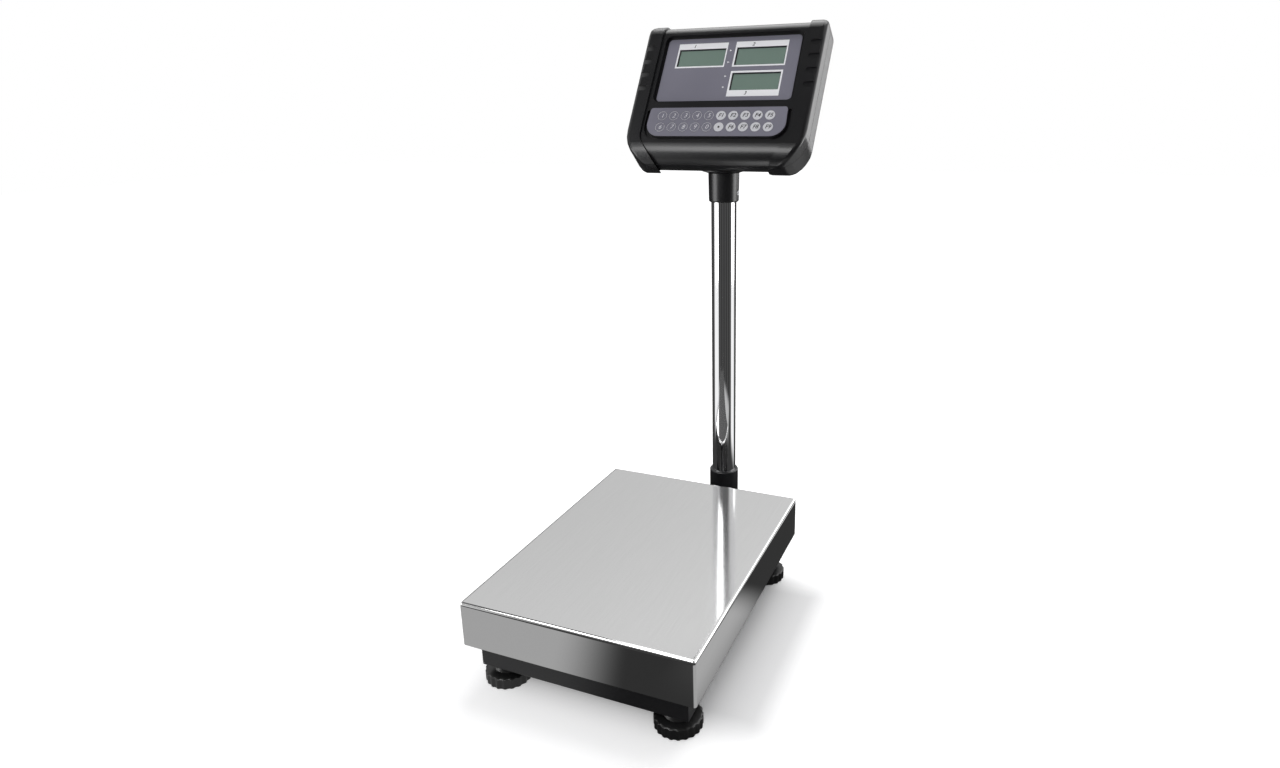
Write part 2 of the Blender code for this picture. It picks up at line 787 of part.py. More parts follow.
def foot_wheel(name, parent):
    """A moulded wheel with finger flutes and a raised boss, turned by hand."""
    count = 4 * WHEEL_FLUTES
    edge = WHEEL_RADIUS - WHEEL_CHAMFER - FLUTE_DEPTH
    bore = STUD_RADIUS + GAP
    profile = [(edge, 0.0, False), (WHEEL_RADIUS, WHEEL_CHAMFER, True),
               (WHEEL_RADIUS, WHEEL_BAND - WHEEL_CHAMFER, True), (edge, WHEEL_BAND, False),
               (BOSS_RADIUS + BOSS_FOOT, WHEEL_BAND + BOSS_FOOT_RISE, False),
               (BOSS_RADIUS, WHEEL_BAND + BOSS_SHOULDER, False),
               (BOSS_RADIUS - BOSS_TAPER, WHEEL_HEIGHT, False),
               (bore, WHEEL_HEIGHT, False), (bore, STUD_SEAT, False)]
    rings = []
    for radius, height, fluted in profile:
        ring = []
        for i in range(count):
            angle = 2 * math.pi * (i + 0.5) / count
            here = flute(angle, radius) if fluted else radius
            ring.append(Vector((here * math.cos(angle), here * math.sin(angle), height)))
        rings.append(ring)
    body = bmesh.new()
    loft(body, rings)
    return new_object(name, body, parent, "foot_plastic")


def foot_stud(name, parent):
    """The foot's threaded stud, seated in its wheel."""
    low = STUD_SEAT + GAP
    top = low + STUD_LENGTH
    tip = STUD_RADIUS * 0.2
    body = bmesh.new()
    turned(body, [(STUD_RADIUS - tip, low), (STUD_RADIUS, low + tip), (STUD_RADIUS, top - tip),
                  (STUD_RADIUS - tip, top)], steps=20)
    return new_object(name, body, parent, "zinc_steel")


def feet(root):
    """Four feet, each on an empty on its stud's axis."""
    for mark, (x, y) in foot_places().items():
        axis = pivot(f"foot_axis_{mark}", (x, y, 0.0), root)
        foot_stud(f"foot_stud_{mark}", axis)
        foot_wheel(f"foot_wheel_{mark}", axis)


# Column


def column_socket(parent):
    """The black collar round the column's foot, with its flange on the bracket."""
    low = SOCKET_BOTTOM
    rim = SOCKET_RIM
    bore = COLUMN_RADIUS + GAP
    flange_top = low + SOCKET_FLANGE_THICK
    body = bmesh.new()
    turned(body, [(bore, low), (SOCKET_FLANGE, low), (SOCKET_FLANGE, flange_top - rim),
                  (SOCKET_FLANGE - rim, flange_top), (SOCKET_RADIUS + 2 * rim, flange_top),
                  (SOCKET_RADIUS, flange_top + 2 * rim), (SOCKET_RADIUS, SOCKET_TOP - rim),
                  (SOCKET_RADIUS - rim, SOCKET_TOP), (bore, SOCKET_TOP)],
           (0, COLUMN_Y), 40, closed=True)
    return new_object("column_socket", body, parent, "black_plastic")


def column_tube(parent):
    """The chromed column."""
    outer = circle(0, COLUMN_Y, COLUMN_RADIUS, 48)
    inner = circle(0, COLUMN_Y, COLUMN_RADIUS - COLUMN_WALL, 48)
    body = bmesh.new()
    tube(body, outer, inner, COLUMN_BOTTOM, COLUMN_TOP)
    return new_object("column_tube", body, parent, "chrome_plate")


def post_socket(parent):
    """The cap on the column's top, with the spigot that the head swivels on."""
    bore = COLUMN_RADIUS + GAP
    low = POST_BOTTOM
    body = bmesh.new()
    turned(body, [(bore, low), (SOCKET_RADIUS - POST_TAPER - POST_EDGE, low),
                  (SOCKET_RADIUS - POST_TAPER, low + POST_EDGE), (SOCKET_RADIUS, POST_TOP),
                  (SPIGOT_RADIUS, POST_TOP), (SPIGOT_RADIUS, POST_TOP + SPIGOT_HEIGHT),
                  (CABLE_BORE, POST_TOP + SPIGOT_HEIGHT), (CABLE_BORE, POST_TOP - POST_ROOF),
                  (bore, POST_TOP - POST_ROOF)], (0, COLUMN_Y), 40, closed=True)
    socket = new_object("post_socket", body, parent, "black_plastic")

    def screw_bore(inside, radius, start):
        outline = circle(COLUMN_Y, low + SET_SCREW_UP, radius, 16)
        prism(inside, outline, start, SOCKET_RADIUS * 1.2, place_yz)

    sink = M5_HEAD_RADIUS + 2 * GAP
    cut(socket, "screw_hole", lambda inside: screw_bore(inside, M5_RADIUS + GAP, COLUMN_RADIUS))
    return cut(socket, "screw_sink", lambda inside: screw_bore(inside, sink, SET_SCREW_SEAT))


def set_screw(parent):
    """The set screw that holds the socket on the column."""
    seat = SET_SCREW_SEAT + GAP
    top = seat + M5_HEAD
    profile = ((M5_RADIUS, COLUMN_RADIUS + 2 * GAP), (M5_RADIUS, seat), (M5_HEAD_RADIUS, seat),
               (M5_HEAD_RADIUS, top), (M5_KEY, top), (M5_KEY, seat))
    rings = []
    for radius, x in profile:
        outline = circle(COLUMN_Y, POST_BOTTOM + SET_SCREW_UP, radius, 18)
        rings.append([Vector((x, a, b)) for a, b in outline])
    body = bmesh.new()
    loft(body, rings)
    return new_object("set_screw", body, parent, "zinc_steel")


# Indicator head, modelled across, up the face and out of the face


def slab_outline(grow, drop=0.0):
    """The head's side profile, up the face and out of it, grown by an offset and lowered by a drop."""
    front = FACE_FRONT + grow
    back = -SLAB_BACK - grow
    low = HEAD_LOW - grow - drop
    top = FACE_TOP + grow
    return rounded([(top, back, TOP_BACK_RADIUS + grow), (top, front, TOP_FRONT_RADIUS + grow),
                    ((low - front * LEVEL[1]) / LEVEL[0], front, LIP_RADIUS + grow),
                    ((low - back * LEVEL[1]) / LEVEL[0], back, LOW_BACK_RADIUS + grow)], CURVE_STEP)


def tapered(half_top, half_low, top, bottom, top_corner, low_corner):
    """A shape seen square to the face: slightly tapered sides, small top and large low corners."""
    return rounded([(-half_low, bottom, low_corner), (half_low, bottom, low_corner),
                    (half_top, top, top_corner), (-half_top, top, top_corner)], CURVE_STEP)


def head_outline(low_corner, grow=0.0):
    """The whole head's outline with the given low corners, grown by an offset."""
    return tapered(HEAD_HALF_WIDTH + grow, HEAD_HALF_WIDTH - HEAD_TAPER + grow, FACE_TOP + CAP_PROUD + grow,
                   -LOW_EDGE - grow, TOP_CORNER + grow, low_corner + grow)


def everywhere(half):
    """A rectangle over the whole face, half as wide as said."""
    return rectangle_points((-half, half), (-2 * LOW_EDGE, 2 * LOW_EDGE))


def inner_outline(grow=0.0):
    """The part of the face between the two side caps."""
    far = LOW_EDGE * 1.5
    width = CAP_INNER + grow
    foot = width - (far + CAP_KNEE) * CAP_SLOPE
    return rounded([(-foot, -far, 0), (foot, -far, 0), (width, CAP_KNEE, LIP_RADIUS), (width, far, 0),
                    (-width, far, 0), (-width, CAP_KNEE, LIP_RADIUS)], CURVE_STEP)


def keypad_outline(grow=0.0):
    """The keypad's outline."""
    return tapered(KEYPAD_TOP_HALF + grow, KEYPAD_LOW_HALF + grow, KEYPAD_TOP + grow, KEYPAD_BOTTOM - grow,
                   KEYPAD_TOP_CORNER + grow, KEYPAD_LOW_CORNER + grow)


def on_face(across, back, up):
    """A point given across, back and up from the face's centre, in the head's directions."""
    return Vector((across, back * LEVEL[1] + up * LEVEL[0], up * LEVEL[1] - back * LEVEL[0]))


def upright_yz(a, b, c):
    """Outline back and up, length across, for the head's upright pieces."""
    return on_face(c, a, b)


def upright_xz(a, b, c):
    """Outline across and up, depth back, for the head's upright pieces."""
    return on_face(a, c, b)


def head_block(name, parent, grow, outline):
    """The head's side profile drawn across it, inside an outline drawn out of the face."""
    wide = HEAD_HALF_WIDTH * 1.2
    body = bmesh.new()
    prism(body, slab_outline(grow), -wide, wide, place_side)
    block = new_object(name, body, parent)
    return keep(block, "outline", lambda inside: prism(inside, outline, -FAR, FAR))


def crossing(outline, level):
    """Where a line across a convex outline enters and leaves it."""
    ends = []
    for (a, b), (c, d) in zip(outline, outline[1:] + outline[:1]):
        if a != c and (a - level) * (c - level) <= 0:
            ends.append(b + (d - b) * (level - a) / (c - a))
    return min(ends), max(ends)


def block_levels(*outlines):
    """Every height up the face at which one of the outlines turns, close ones left out."""
    lowest = max(min(a for a, _ in outline) for outline in outlines) + WELD
    highest = min(max(a for a, _ in outline) for outline in outlines) - WELD
    levels = [lowest]
    for level in sorted(a for outline in outlines for a, _ in outline):
        if levels[-1] + LEVEL_STEP < level < highest - LEVEL_STEP:
            levels.append(level)
    return levels + [highest]


def soft_block(name, parent):
    """The head's whole block as rounded sections up the face, its low corners fuller behind."""
    profile = slab_outline(CAP_PROUD, CAP_DROP)
    plans = [[(b, a) for a, b in head_outline(corner)] for corner in (LOW_CORNER, REAR_LOW_CORNER)]

    def reach(level, depth):
        front, rear = (crossing(plan, level)[1] for plan in plans)
        return front + (rear - front) * (FACE_FRONT + CAP_PROUD - depth) / HEAD_DEPTH

    rings = []
    for level in block_levels(profile, *plans):
        back, front = crossing(profile, level)
        deepest = (front - back) * EDGE_SHARE
        soft, firm = min(CAP_EDGE, deepest), min(REAR_EDGE, deepest)
        near, far = reach(level, front), reach(level, back)
        section = [(-far, back, firm), (far, back, firm), (near, front, soft), (-near, front, soft)]
        rings.append([Vector((a, level, b)) for a, b in rounded(section, steps=EDGE_STEPS)])
    body = bmesh.new()
    loft(body, rings)
    return new_object(name, body, parent, "black_plastic")


def as_cutter(piece):
    """Turn a block into a guide for a Boolean."""
    piece.hide_render = True
    piece.display_type = "WIRE"
    return piece


def join(piece, name, cutter, operation):
    """Boolean a piece with another object."""
    change = piece.modifiers.new(name, "BOOLEAN")
    change.operation = operation
    change.solver = "EXACT"
    change.object = as_cutter(cutter)
    return piece


def posts(inside, radius, low, high):
    """Pillars out of the face at the case screws."""
    for u, v in CASE_SCREW_AT:
        prism(inside, circle(u, v, radius, 20), low, high)


def side_cap(name, parent, side):
    """A moulded grip band along one side of the head's front, with four finger recesses."""
    piece = soft_block(name, parent)
    wide = HEAD_HALF_WIDTH * 1.3

    def inner(inside):
        prism(inside, inner_outline(GAP), -FAR, 2 * FAR)

    def other_side(inside):
        reach = sorted((0.0, -side * wide))
        prism(inside, rectangle_points(reach, (-2 * LOW_EDGE, 2 * LOW_EDGE)), -FAR, 2 * FAR)

    def grips(inside):
        surface = FACE_FRONT + CAP_PROUD
        for k in range(GRIP_COUNT):
            middle = GRIP_TOP - k * GRIP_PITCH
            half = GRIP_HEIGHT / 2
            shape = arc((GRIP_INNER + half, middle), half, 90, 270, 8)
            shape += [(wide, middle - half), (wide, middle + half)]
            prism(inside, [(side * a, b) for a, b in shape], surface - GRIP_DEPTH, surface + SHELL)

    cut(piece, "inner_side", inner)
    cut(piece, "other_side", other_side)
    cut(piece, "behind", lambda inside: prism(inside, everywhere(wide), -2 * FAR, SEAM + GAP))
    cut(piece, "grips", grips)
    return piece


def lcd_shapes(margin):
    """The three display windows, grown by a margin."""
    for u, v in LCD_CENTRES:
        half_u = LCD_WIDTH / 2 + margin
        half_v = LCD_HEIGHT / 2 + margin
        yield rectangle_points((u - half_u, u + half_u), (v - half_v, v + half_v))


def front_shell(parent):
    """The front moulding: display pocket, keypad plateau, moat and the rolled lower lip."""
    body = bmesh.new()
    prism(body, slab_outline(0.0), -CAP_INNER * 1.2, CAP_INNER * 1.2, place_side)
    shell = new_object("front_shell", body, parent, "black_plastic")

    def moat(inside):
        outline = tapered(MOAT_HALF_WIDTH, MOAT_HALF_WIDTH, MOAT_TOP, MOAT_BOTTOM, MOAT_TOP_CORNER,
                          MOAT_LOW_CORNER)
        prism(inside, outline, MOAT_FLOOR, FAR)

    def plateau(inside):
        prism(inside, keypad_outline(KEYPAD_MARGIN), MOAT_FLOOR - SHELL / 2, PLATEAU)

    def outline(inside):
        prism(inside, inner_outline(), SEAM + GAP, 2 * FAR)

    def pocket(inside):
        half_u = WINDOW_WIDTH / 2 + POCKET_MARGIN
        half_v = WINDOW_HEIGHT / 2 + POCKET_MARGIN
        prism(inside, rounded(rectangle(-half_u, half_u, -half_v, half_v, WINDOW_CORNER + POCKET_MARGIN)),
              POCKET_FLOOR, FAR)

    def hollow(inside):
        wall = [(v, min(n, FRONT_WALL)) for v, n in slab_outline(-SHELL)]
        prism(inside, wall, SHELL - CAP_INNER, CAP_INNER - SHELL, place_side)

    def lcd_openings(inside):
        for shape in lcd_shapes(0.0):
            prism(inside, shape, FRONT_WALL - SHELL, FAR)

    def key_wells(inside):
        for _, u, v in key_places():
            prism(inside, circle(u, v, KEY_RADIUS + 2 * GAP, KEY_SIDES), KEY_LOW - KEY_TRAVEL - GAP,
                  PLATEAU + SHELL)

    cut(shell, "moat", moat)
    add(shell, "plateau", plateau)
    keep(shell, "outline", outline)
    cut(shell, "pocket", pocket)
    cut(shell, "hollow", hollow)
    cut(shell, "lcd_openings", lcd_openings)
    cut(shell, "key_wells", key_wells)
    add(shell, "posts", lambda inside: posts(inside, CASE_POST, SEAM + GAP, FRONT_WALL + SHELL / 2))
    bore = CASE_SCREW_RADIUS + GAP
    return cut(shell, "post_bores", lambda inside: posts(inside, bore, SEAM - SHELL, FRONT_WALL))


def bulge(inside, grow, half_width):
    """The battery box behind the slab, drawn across the head."""
    low = HEAD_LOW - grow
    back = BULGE_BACK + grow
    outline = rounded([(BULGE_FRONT, low, 0), (back, low, BULGE_CORNER + grow),
                       (back, BULGE_HEAD - BULGE_CORNER, BULGE_CORNER / 2),
                       (BULGE_FRONT, BULGE_HEAD - grow, 0)])
    prism(inside, outline, -half_width, half_width, upright_yz)


def rear_shell(parent):
    """The rear moulding across the whole head, with the battery box and the column's boss."""
    wide = HEAD_HALF_WIDTH * 1.2
    low = HEAD_LOW
    shell = soft_block("rear_shell", parent)
    door_u, door_z = door_opening()

    def box_body(inside):
        bulge(inside, 0.0, BULGE_HALF_WIDTH)

    def boss(inside):
        profile = ((BOSS_BOTTOM, low - BOSS_DROP), (BOSS_TOP, low - WELD), (BOSS_TOP, low + BOSS_RIM))
        rings = []
        for radius, height in profile:
            rings.append([on_face(a, b, height) for a, b in circle(0, -FACE_BEHIND_COLUMN, radius, 40)])
        loft(inside, rings)

    def hollow(inside):
        bulge(inside, -SHELL, BULGE_HALF_WIDTH - SHELL)

    def sleeve(inside):
        prism(inside, circle(0, -FACE_BEHIND_COLUMN, SLEEVE_RADIUS, 40), low + SHELL / 2,
              low + SLEEVE_HEIGHT, on_face)

    def sleeve_bore(inside):
        prism(inside, circle(0, -FACE_BEHIND_COLUMN, SPIGOT_RADIUS + GAP, 40), low - 2 * BOSS_DROP,
              low + 2 * SLEEVE_HEIGHT, on_face)

    def shelf(inside):
        outline = rectangle_points((0.0, BULGE_BACK - SHELL / 2),
                                   (low + SHELL / 2, low + SHELL + BATTERY_SHELF))
        for u in (-BATTERY_WIDTH / 3, BATTERY_WIDTH / 3):
            prism(inside, outline, u - SHELL / 2, u + SHELL / 2, upright_yz)

    def floor_holes(inside):
        u, y = SWITCH_AT
        half_u, half_y = SWITCH_WIDTH / 2 + GAP, SWITCH_LENGTH / 2 + 2 * GAP
        slot = rectangle_points((u - half_u, u + half_u), (y - half_y, y + half_y))
        prism(inside, slot, low - SHELL, low + 2 * SHELL, on_face)
        prism(inside, circle(*JACK_AT, JACK_RADIUS + GAP, 20), low - SHELL, low + 2 * SHELL, on_face)

    def door_hole(inside):
        prism(inside, rectangle_points((-door_u, door_u), door_z), BULGE_BACK - 2 * SHELL,
              BULGE_BACK + SHELL, upright_xz)

    def band(inside):
        prism(inside, inner_outline(), -FAR, 2 * FAR)

    corner = (LOW_CORNER + REAR_LOW_CORNER) / 2
    inner = head_block("rear_hollow", parent, -SHELL, head_outline(corner, -SHELL))
    skin = new_object("rear_skin", bmesh.new(), parent)
    add(skin, "band", band)
    cut(skin, "slab", lambda inside: prism(inside, slab_outline(0.0), -wide, wide, place_side))
    join(shell, "skin", skin, "DIFFERENCE")
    add(shell, "box", box_body)
    add(shell, "boss", boss)
    join(shell, "slab_hollow", inner, "DIFFERENCE")
    cut(shell, "box_hollow", hollow)
    cut(shell, "front", lambda inside: prism(inside, everywhere(wide), SEAM, FAR))
    add(shell, "sleeve", sleeve)
    cut(shell, "sleeve_bore", sleeve_bore)
    add(shell, "shelf", shelf)
    cut(shell, "floor_holes", floor_holes)
    cut(shell, "door_hole", door_hole)
    well, bore = CASE_SCREW_HEAD + GAP, CASE_SCREW_RADIUS + GAP
    add(shell, "posts", lambda inside: posts(inside, CASE_POST, -SLAB_BACK + SHELL / 2, SEAM))
    cut(shell, "screw_wells", lambda inside: posts(inside, well, -2 * SLAB_BACK, CASE_SCREW_SEAT))
    return cut(shell, "screw_bores", lambda inside: posts(inside, bore, -SLAB_BACK, SHELL))


def door_opening():
    """The battery door's half-width, and its low and high edges."""
    low = HEAD_LOW + SHELL + BATTERY_SHELF
    return (BATTERY_WIDTH / 2 + DOOR_MARGIN, (low - DOOR_MARGIN, low + BATTERY_HEIGHT + DOOR_MARGIN))


def battery_cover(parent):
    """The battery door: a plate outside the wall, a plug in its opening and finger ridges."""
    half, (low, high) = door_opening()
    outside = BULGE_BACK + GAP
    plate = rectangle(-half - DOOR_LAP, half + DOOR_LAP, low - DOOR_LAP, high + DOOR_LAP, DOOR_LAP)
    body = bmesh.new()
    prism(body, rounded(plate), outside, outside + DOOR_THICK, upright_xz)
    door = new_object("battery_cover", body, parent, "black_plastic")

    def plug(inside):
        prism(inside, rounded(rectangle(-half + GAP, half - GAP, low + GAP, high - GAP, DOOR_LAP / 4)),
              BULGE_BACK - SHELL, outside + DOOR_THICK / 2, upright_xz)

    def ridges(inside):
        for k in range(RIDGE_COUNT):
            level = high - RIDGE_PITCH * (k + 1)
            ridge = rectangle_points((-half / 3, half / 3), (level - RIDGE_HALF, level + RIDGE_HALF))
            prism(inside, ridge, outside + DOOR_THICK / 2, outside + DOOR_THICK + RIDGE_HALF, upright_xz)

    add(door, "plug", plug)
    return add(door, "ridges", ridges)


def battery(parent):
    """A sealed battery, with its two terminals."""
    half = BATTERY_WIDTH / 2
    low = HEAD_LOW + SHELL + BATTERY_SHELF + GAP
    top = low + BATTERY_HEIGHT
    back = BULGE_BACK - SHELL - 2 * GAP
    case = rounded(rectangle(-half, half, back - BATTERY_DEPTH, back, BATTERY_CORNER), 30.0)
    body = bmesh.new()
    prism(body, case, low, top, on_face)
    cell = new_object("battery", body, parent, "battery_case")

    def terminals(inside):
        y = back - TERMINAL_INSET
        for u in (TERMINAL_INSET - half, half - TERMINAL_INSET):
            tab = rectangle_points((u - TERMINAL_HALF, u + TERMINAL_HALF), (y - TERMINAL_THICK, y))
            prism(inside, tab, top - WELD, top + TERMINAL_HEIGHT, on_face)

    return add(cell, "terminals", terminals)


def power_switch(parent):
    """The rocker switch in the battery box's floor, on an empty on its pivot, resting tilted."""
    u, y = SWITCH_AT
    axis = pivot("switch_axis", on_face(u, y, HEAD_LOW + SHELL / 2), parent,
                 (-math.pi / 2 + TILT + math.radians(SWITCH_TILT), 0.0, 0.0))
    half = SWITCH_LENGTH / 2
    outline = [(-half, -SWITCH_DROP), (0.0, SWITCH_DISH - SWITCH_DROP), (half, -SWITCH_DROP),
               (half, SWITCH_SIDE), (SWITCH_ROOF, SWITCH_RISE), (-SWITCH_ROOF, SWITCH_RISE),
               (-half, SWITCH_SIDE)]
    body = bmesh.new()
    prism(body, outline, -SWITCH_WIDTH / 2, SWITCH_WIDTH / 2, place_yz)
    return new_object("power_switch", body, axis, "gloss_black_plastic")


def power_jack(parent):
    """The round power inlet in the battery box's floor."""
    seat = HEAD_LOW - GAP
    rim = seat - JACK_FLANGE_THICK
    profile = ((JACK_BORE, HEAD_LOW + JACK_BORE_DEPTH), (JACK_BORE, rim), (JACK_FLANGE, rim),
               (JACK_FLANGE, seat), (JACK_RADIUS, seat), (JACK_RADIUS, HEAD_LOW + JACK_DEPTH))
    rings = []
    for radius, height in profile:
        rings.append([on_face(a, b, height) for a, b in circle(*JACK_AT, radius, 20)])
    body = bmesh.new()
    loft(body, rings)
    return new_object("power_jack", body, parent, "gloss_black_plastic")


def display_window(parent):
    """The printed display sheet in its pocket."""
    half_u, half_v = WINDOW_WIDTH / 2, WINDOW_HEIGHT / 2
    body = bmesh.new()
    prism(body, rounded(rectangle(-half_u, half_u, -half_v, half_v, WINDOW_CORNER)), -WINDOW_THICK, 0.0)
    return new_object("display_window", body, parent, "panel_print")


def display_module(parent):
    """Three displays on one carrier plate behind the front wall."""
    left = min(u for u, _ in LCD_CENTRES) - LCD_WIDTH / 2
    right = max(u for u, _ in LCD_CENTRES) + LCD_WIDTH / 2
    bottom = min(v for _, v in LCD_CENTRES) - LCD_HEIGHT / 2
    top = max(v for _, v in LCD_CENTRES) + LCD_HEIGHT / 2
    low = LCD_FRONT - LCD_THICK
    carrier = rectangle_points((left - SHELL, right + SHELL), (bottom - SHELL, top + SHELL))
    body = bmesh.new()
    prism(body, carrier, low, low + LCD_CARRIER)
    module = new_object("display_module", body, parent, "lcd_glass")

    def panels(inside):
        for shape in lcd_shapes(-GAP):
            prism(inside, shape, low + LCD_CARRIER - WELD, POCKET_FLOOR)

    return add(module, "panels", panels)


def circuit_board(parent):
    """The indicator's board behind the displays, with its larger parts."""
    half_u, half_v = BOARD_WIDTH / 2, BOARD_HEIGHT / 2
    back = BOARD_FRONT - BOARD_THICK
    body = bmesh.new()
    prism(body, rectangle_points((-half_u, half_u), (-half_v, half_v)), back, BOARD_FRONT)
    board = new_object("circuit_board", body, parent, "board_green")

    def parts(inside):
        for u, v, wide, high, deep in BOARD_PARTS:
            case = rectangle_points((u - wide / 2, u + wide / 2), (v - high / 2, v + high / 2))
            prism(inside, case, back - deep, back + BOARD_THICK / 2)

    return add(board, "parts", parts)


def key_places():
    """Every key's name and place on the face."""
    for row, v in zip(KEY_NAMES, KEY_ROWS):
        for column, name in enumerate(row):
            yield name, KEY_FIRST + column * KEY_PITCH, v


def keypad_membrane(parent):
    """The keypad's printed sheet, open at every key."""
    body = bmesh.new()
    prism(body, keypad_outline(), MEMBRANE_LOW, KEYPAD_FACE)
    sheet = new_object("keypad_membrane", body, parent, "panel_print")

    def key_holes(inside):
        for _, u, v in key_places():
            prism(inside, circle(u, v, KEY_RADIUS + GAP, KEY_SIDES), 0.0, 2 * KEYPAD_FACE)

    return cut(sheet, "key_holes", key_holes)


def keys(parent):
    """Twenty round keys on one mesh, each with its origin on its own line of travel."""
    rim = KEY_PROUD
    body = bmesh.new()
    turned(body, [(KEY_RADIUS, -KEY_THICK), (KEY_RADIUS, -rim), (KEY_RADIUS - rim, 0.0)], steps=KEY_SIDES)
    first = None
    for name, u, v in key_places():
        key = copy_object(name, first) if first else new_object(name, body, parent, "key_print")
        key.location = (u, v, KEYPAD_FACE + KEY_PROUD)
        first = first or key


def case_screws(parent):
    """Four screws from the rear shell's wells into the front shell's posts."""
    seat = CASE_SCREW_SEAT - GAP
    crown = seat - CASE_SCREW_HEAD_THICK
    slot = CASE_SCREW_HEAD_THICK / 2
    profile = [(CASE_SCREW_RADIUS, crown + slot), (CASE_SCREW_RADIUS, crown),
               (CASE_SCREW_HEAD * 0.8, crown), (CASE_SCREW_HEAD, seat - slot), (CASE_SCREW_HEAD, seat),
               (CASE_SCREW_RADIUS, seat), (CASE_SCREW_RADIUS, FRONT_WALL - SHELL)]
    for mark, place in zip(("top_left", "top_right", "low_left", "low_right"), CASE_SCREW_AT):
        body = bmesh.new()
        turned(body, profile, place, 12)
        new_object(f"case_screw_{mark}", body, parent, "zinc_steel")


def head(root):
    """The indicator head on an empty on the column's axis."""
    swivel = pivot("head_swivel", (0.0, COLUMN_Y, BOSS_LOW), root)
    face = pivot("head_face", (0.0, FACE_Y - COLUMN_Y, FACE_HEIGHT - BOSS_LOW), swivel,
                 (math.pi / 2 - TILT, 0.0, 0.0))
    front_shell(face)
    rear_shell(face)
    side_cap("side_cap_left", face, -1)
    side_cap("side_cap_right", face, 1)
    display_window(face)
    display_module(face)
    circuit_board(face)
    keypad_membrane(face)
    keys(face)
    battery(face)
    battery_cover(face)
    power_switch(face)
    power_jack(face)
    case_screws(face)


def build_scene():
    """Make the whole scale."""
    for old in list(bpy.data.objects):
        bpy.data.objects.remove(old, do_unlink=True)
    root = pivot("scale", (0.0, PLAN_SHIFT, 0.0))
    base_frame(root)
    load_cell(root)
    load_frame(root)
    cell_screws(root)
    pan_pads(root)
    pan(root)
    feet(root)
    column_socket(root)
    column_tube(root)
    post_socket(root)
    set_screw(root)
    head(root)


build_scene()
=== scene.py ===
"""Looks of the platform scale: materials, printed details, light and camera."""
import json
import math

import bmesh
import bpy
from mathutils import Matrix, Vector
from mathutils.bvhtree import BVHTree
from mathutils.geometry import tessellate_polygon

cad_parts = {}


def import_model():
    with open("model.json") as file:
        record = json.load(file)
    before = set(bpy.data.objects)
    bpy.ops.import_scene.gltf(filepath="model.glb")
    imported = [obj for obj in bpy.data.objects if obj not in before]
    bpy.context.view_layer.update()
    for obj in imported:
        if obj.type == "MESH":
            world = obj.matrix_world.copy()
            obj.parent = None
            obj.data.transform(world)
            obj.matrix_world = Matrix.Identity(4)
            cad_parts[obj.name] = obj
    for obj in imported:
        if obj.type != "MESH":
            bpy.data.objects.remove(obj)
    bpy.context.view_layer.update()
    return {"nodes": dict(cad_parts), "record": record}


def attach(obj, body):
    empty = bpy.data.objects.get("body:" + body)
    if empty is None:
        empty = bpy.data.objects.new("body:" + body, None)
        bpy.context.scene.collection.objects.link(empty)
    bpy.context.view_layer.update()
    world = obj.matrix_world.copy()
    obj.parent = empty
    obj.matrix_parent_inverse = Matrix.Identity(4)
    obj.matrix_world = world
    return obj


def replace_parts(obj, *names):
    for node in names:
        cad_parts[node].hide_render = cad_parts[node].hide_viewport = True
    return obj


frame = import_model()
record = frame["record"]

BODY_OF = {node: body for body, nodes in record["behaviour"]["bodies"].items() for node in nodes}
SLOT_OF = {part["node"]: part["material_slot"] for part in record["subparts"]}

# Sizes shared with the solids, in metres, and the tilt of the head's face

PLAN_SHIFT = -0.095335
TILT = math.radians(33.2)
FACE = Vector((0.0, 0.318 + PLAN_SHIFT, 0.7252))
COLUMN = Vector((0.0, 0.300 + PLAN_SHIFT))
COLUMN_RADIUS = 0.019
COLUMN_WALL = 0.0015
PAN_TOP = 0.1175
KEY_PITCH = 0.0182
KEY_FIRST = -0.0834
KEY_ROWS = (-0.0822, -0.1007)
KEY_RADIUS = 0.0073
KEYPAD_FACE = 0.0070
SEAM = -0.014
WINDOW_HALF = (0.1035, 0.0533)
WINDOW_CORNER = 0.006
WINDOW_THICK = 0.0008


# Node helpers


def principled(name, colour, roughness, metallic=0.0):
    """A new material with its shader's main values set."""
    made = bpy.data.materials.new(name)
    made.use_nodes = True
    shader = made.node_tree.nodes["Principled BSDF"]
    shader.inputs["Base Color"].default_value = (*colour, 1.0)
    shader.inputs["Roughness"].default_value = roughness
    shader.inputs["Metallic"].default_value = metallic
    return made, shader


def node(tree, kind, **values):
    """Add a shader node and set its named inputs."""
    made = tree.nodes.new(kind)
    for key, value in values.items():
        made.inputs[key.replace("_", " ")].default_value = value
    return made


def noise(material, scale, stretch=(1.0, 1.0, 1.0), detail=4.0, roughness=0.5):
    """Noise on the object's own coordinates, stretched along its axes."""
    tree = material.node_tree
    place = node(tree, "ShaderNodeTexCoord")
    mapping = node(tree, "ShaderNodeMapping", Scale=stretch)
    tree.links.new(place.outputs["Object"], mapping.inputs["Vector"])
    grain = node(tree, "ShaderNodeTexNoise", Scale=scale, Detail=detail, Roughness=roughness)
    tree.links.new(mapping.outputs["Vector"], grain.inputs["Vector"])
    return grain.outputs["Fac"]


def spread(material, factor, low, high, target):
    """Map a 0 to 1 factor on to a range of values."""
    ranged = node(material.node_tree, "ShaderNodeMapRange", To_Min=low, To_Max=high)
    material.node_tree.links.new(factor, ranged.inputs["Value"])
    material.node_tree.links.new(ranged.outputs["Result"], target)


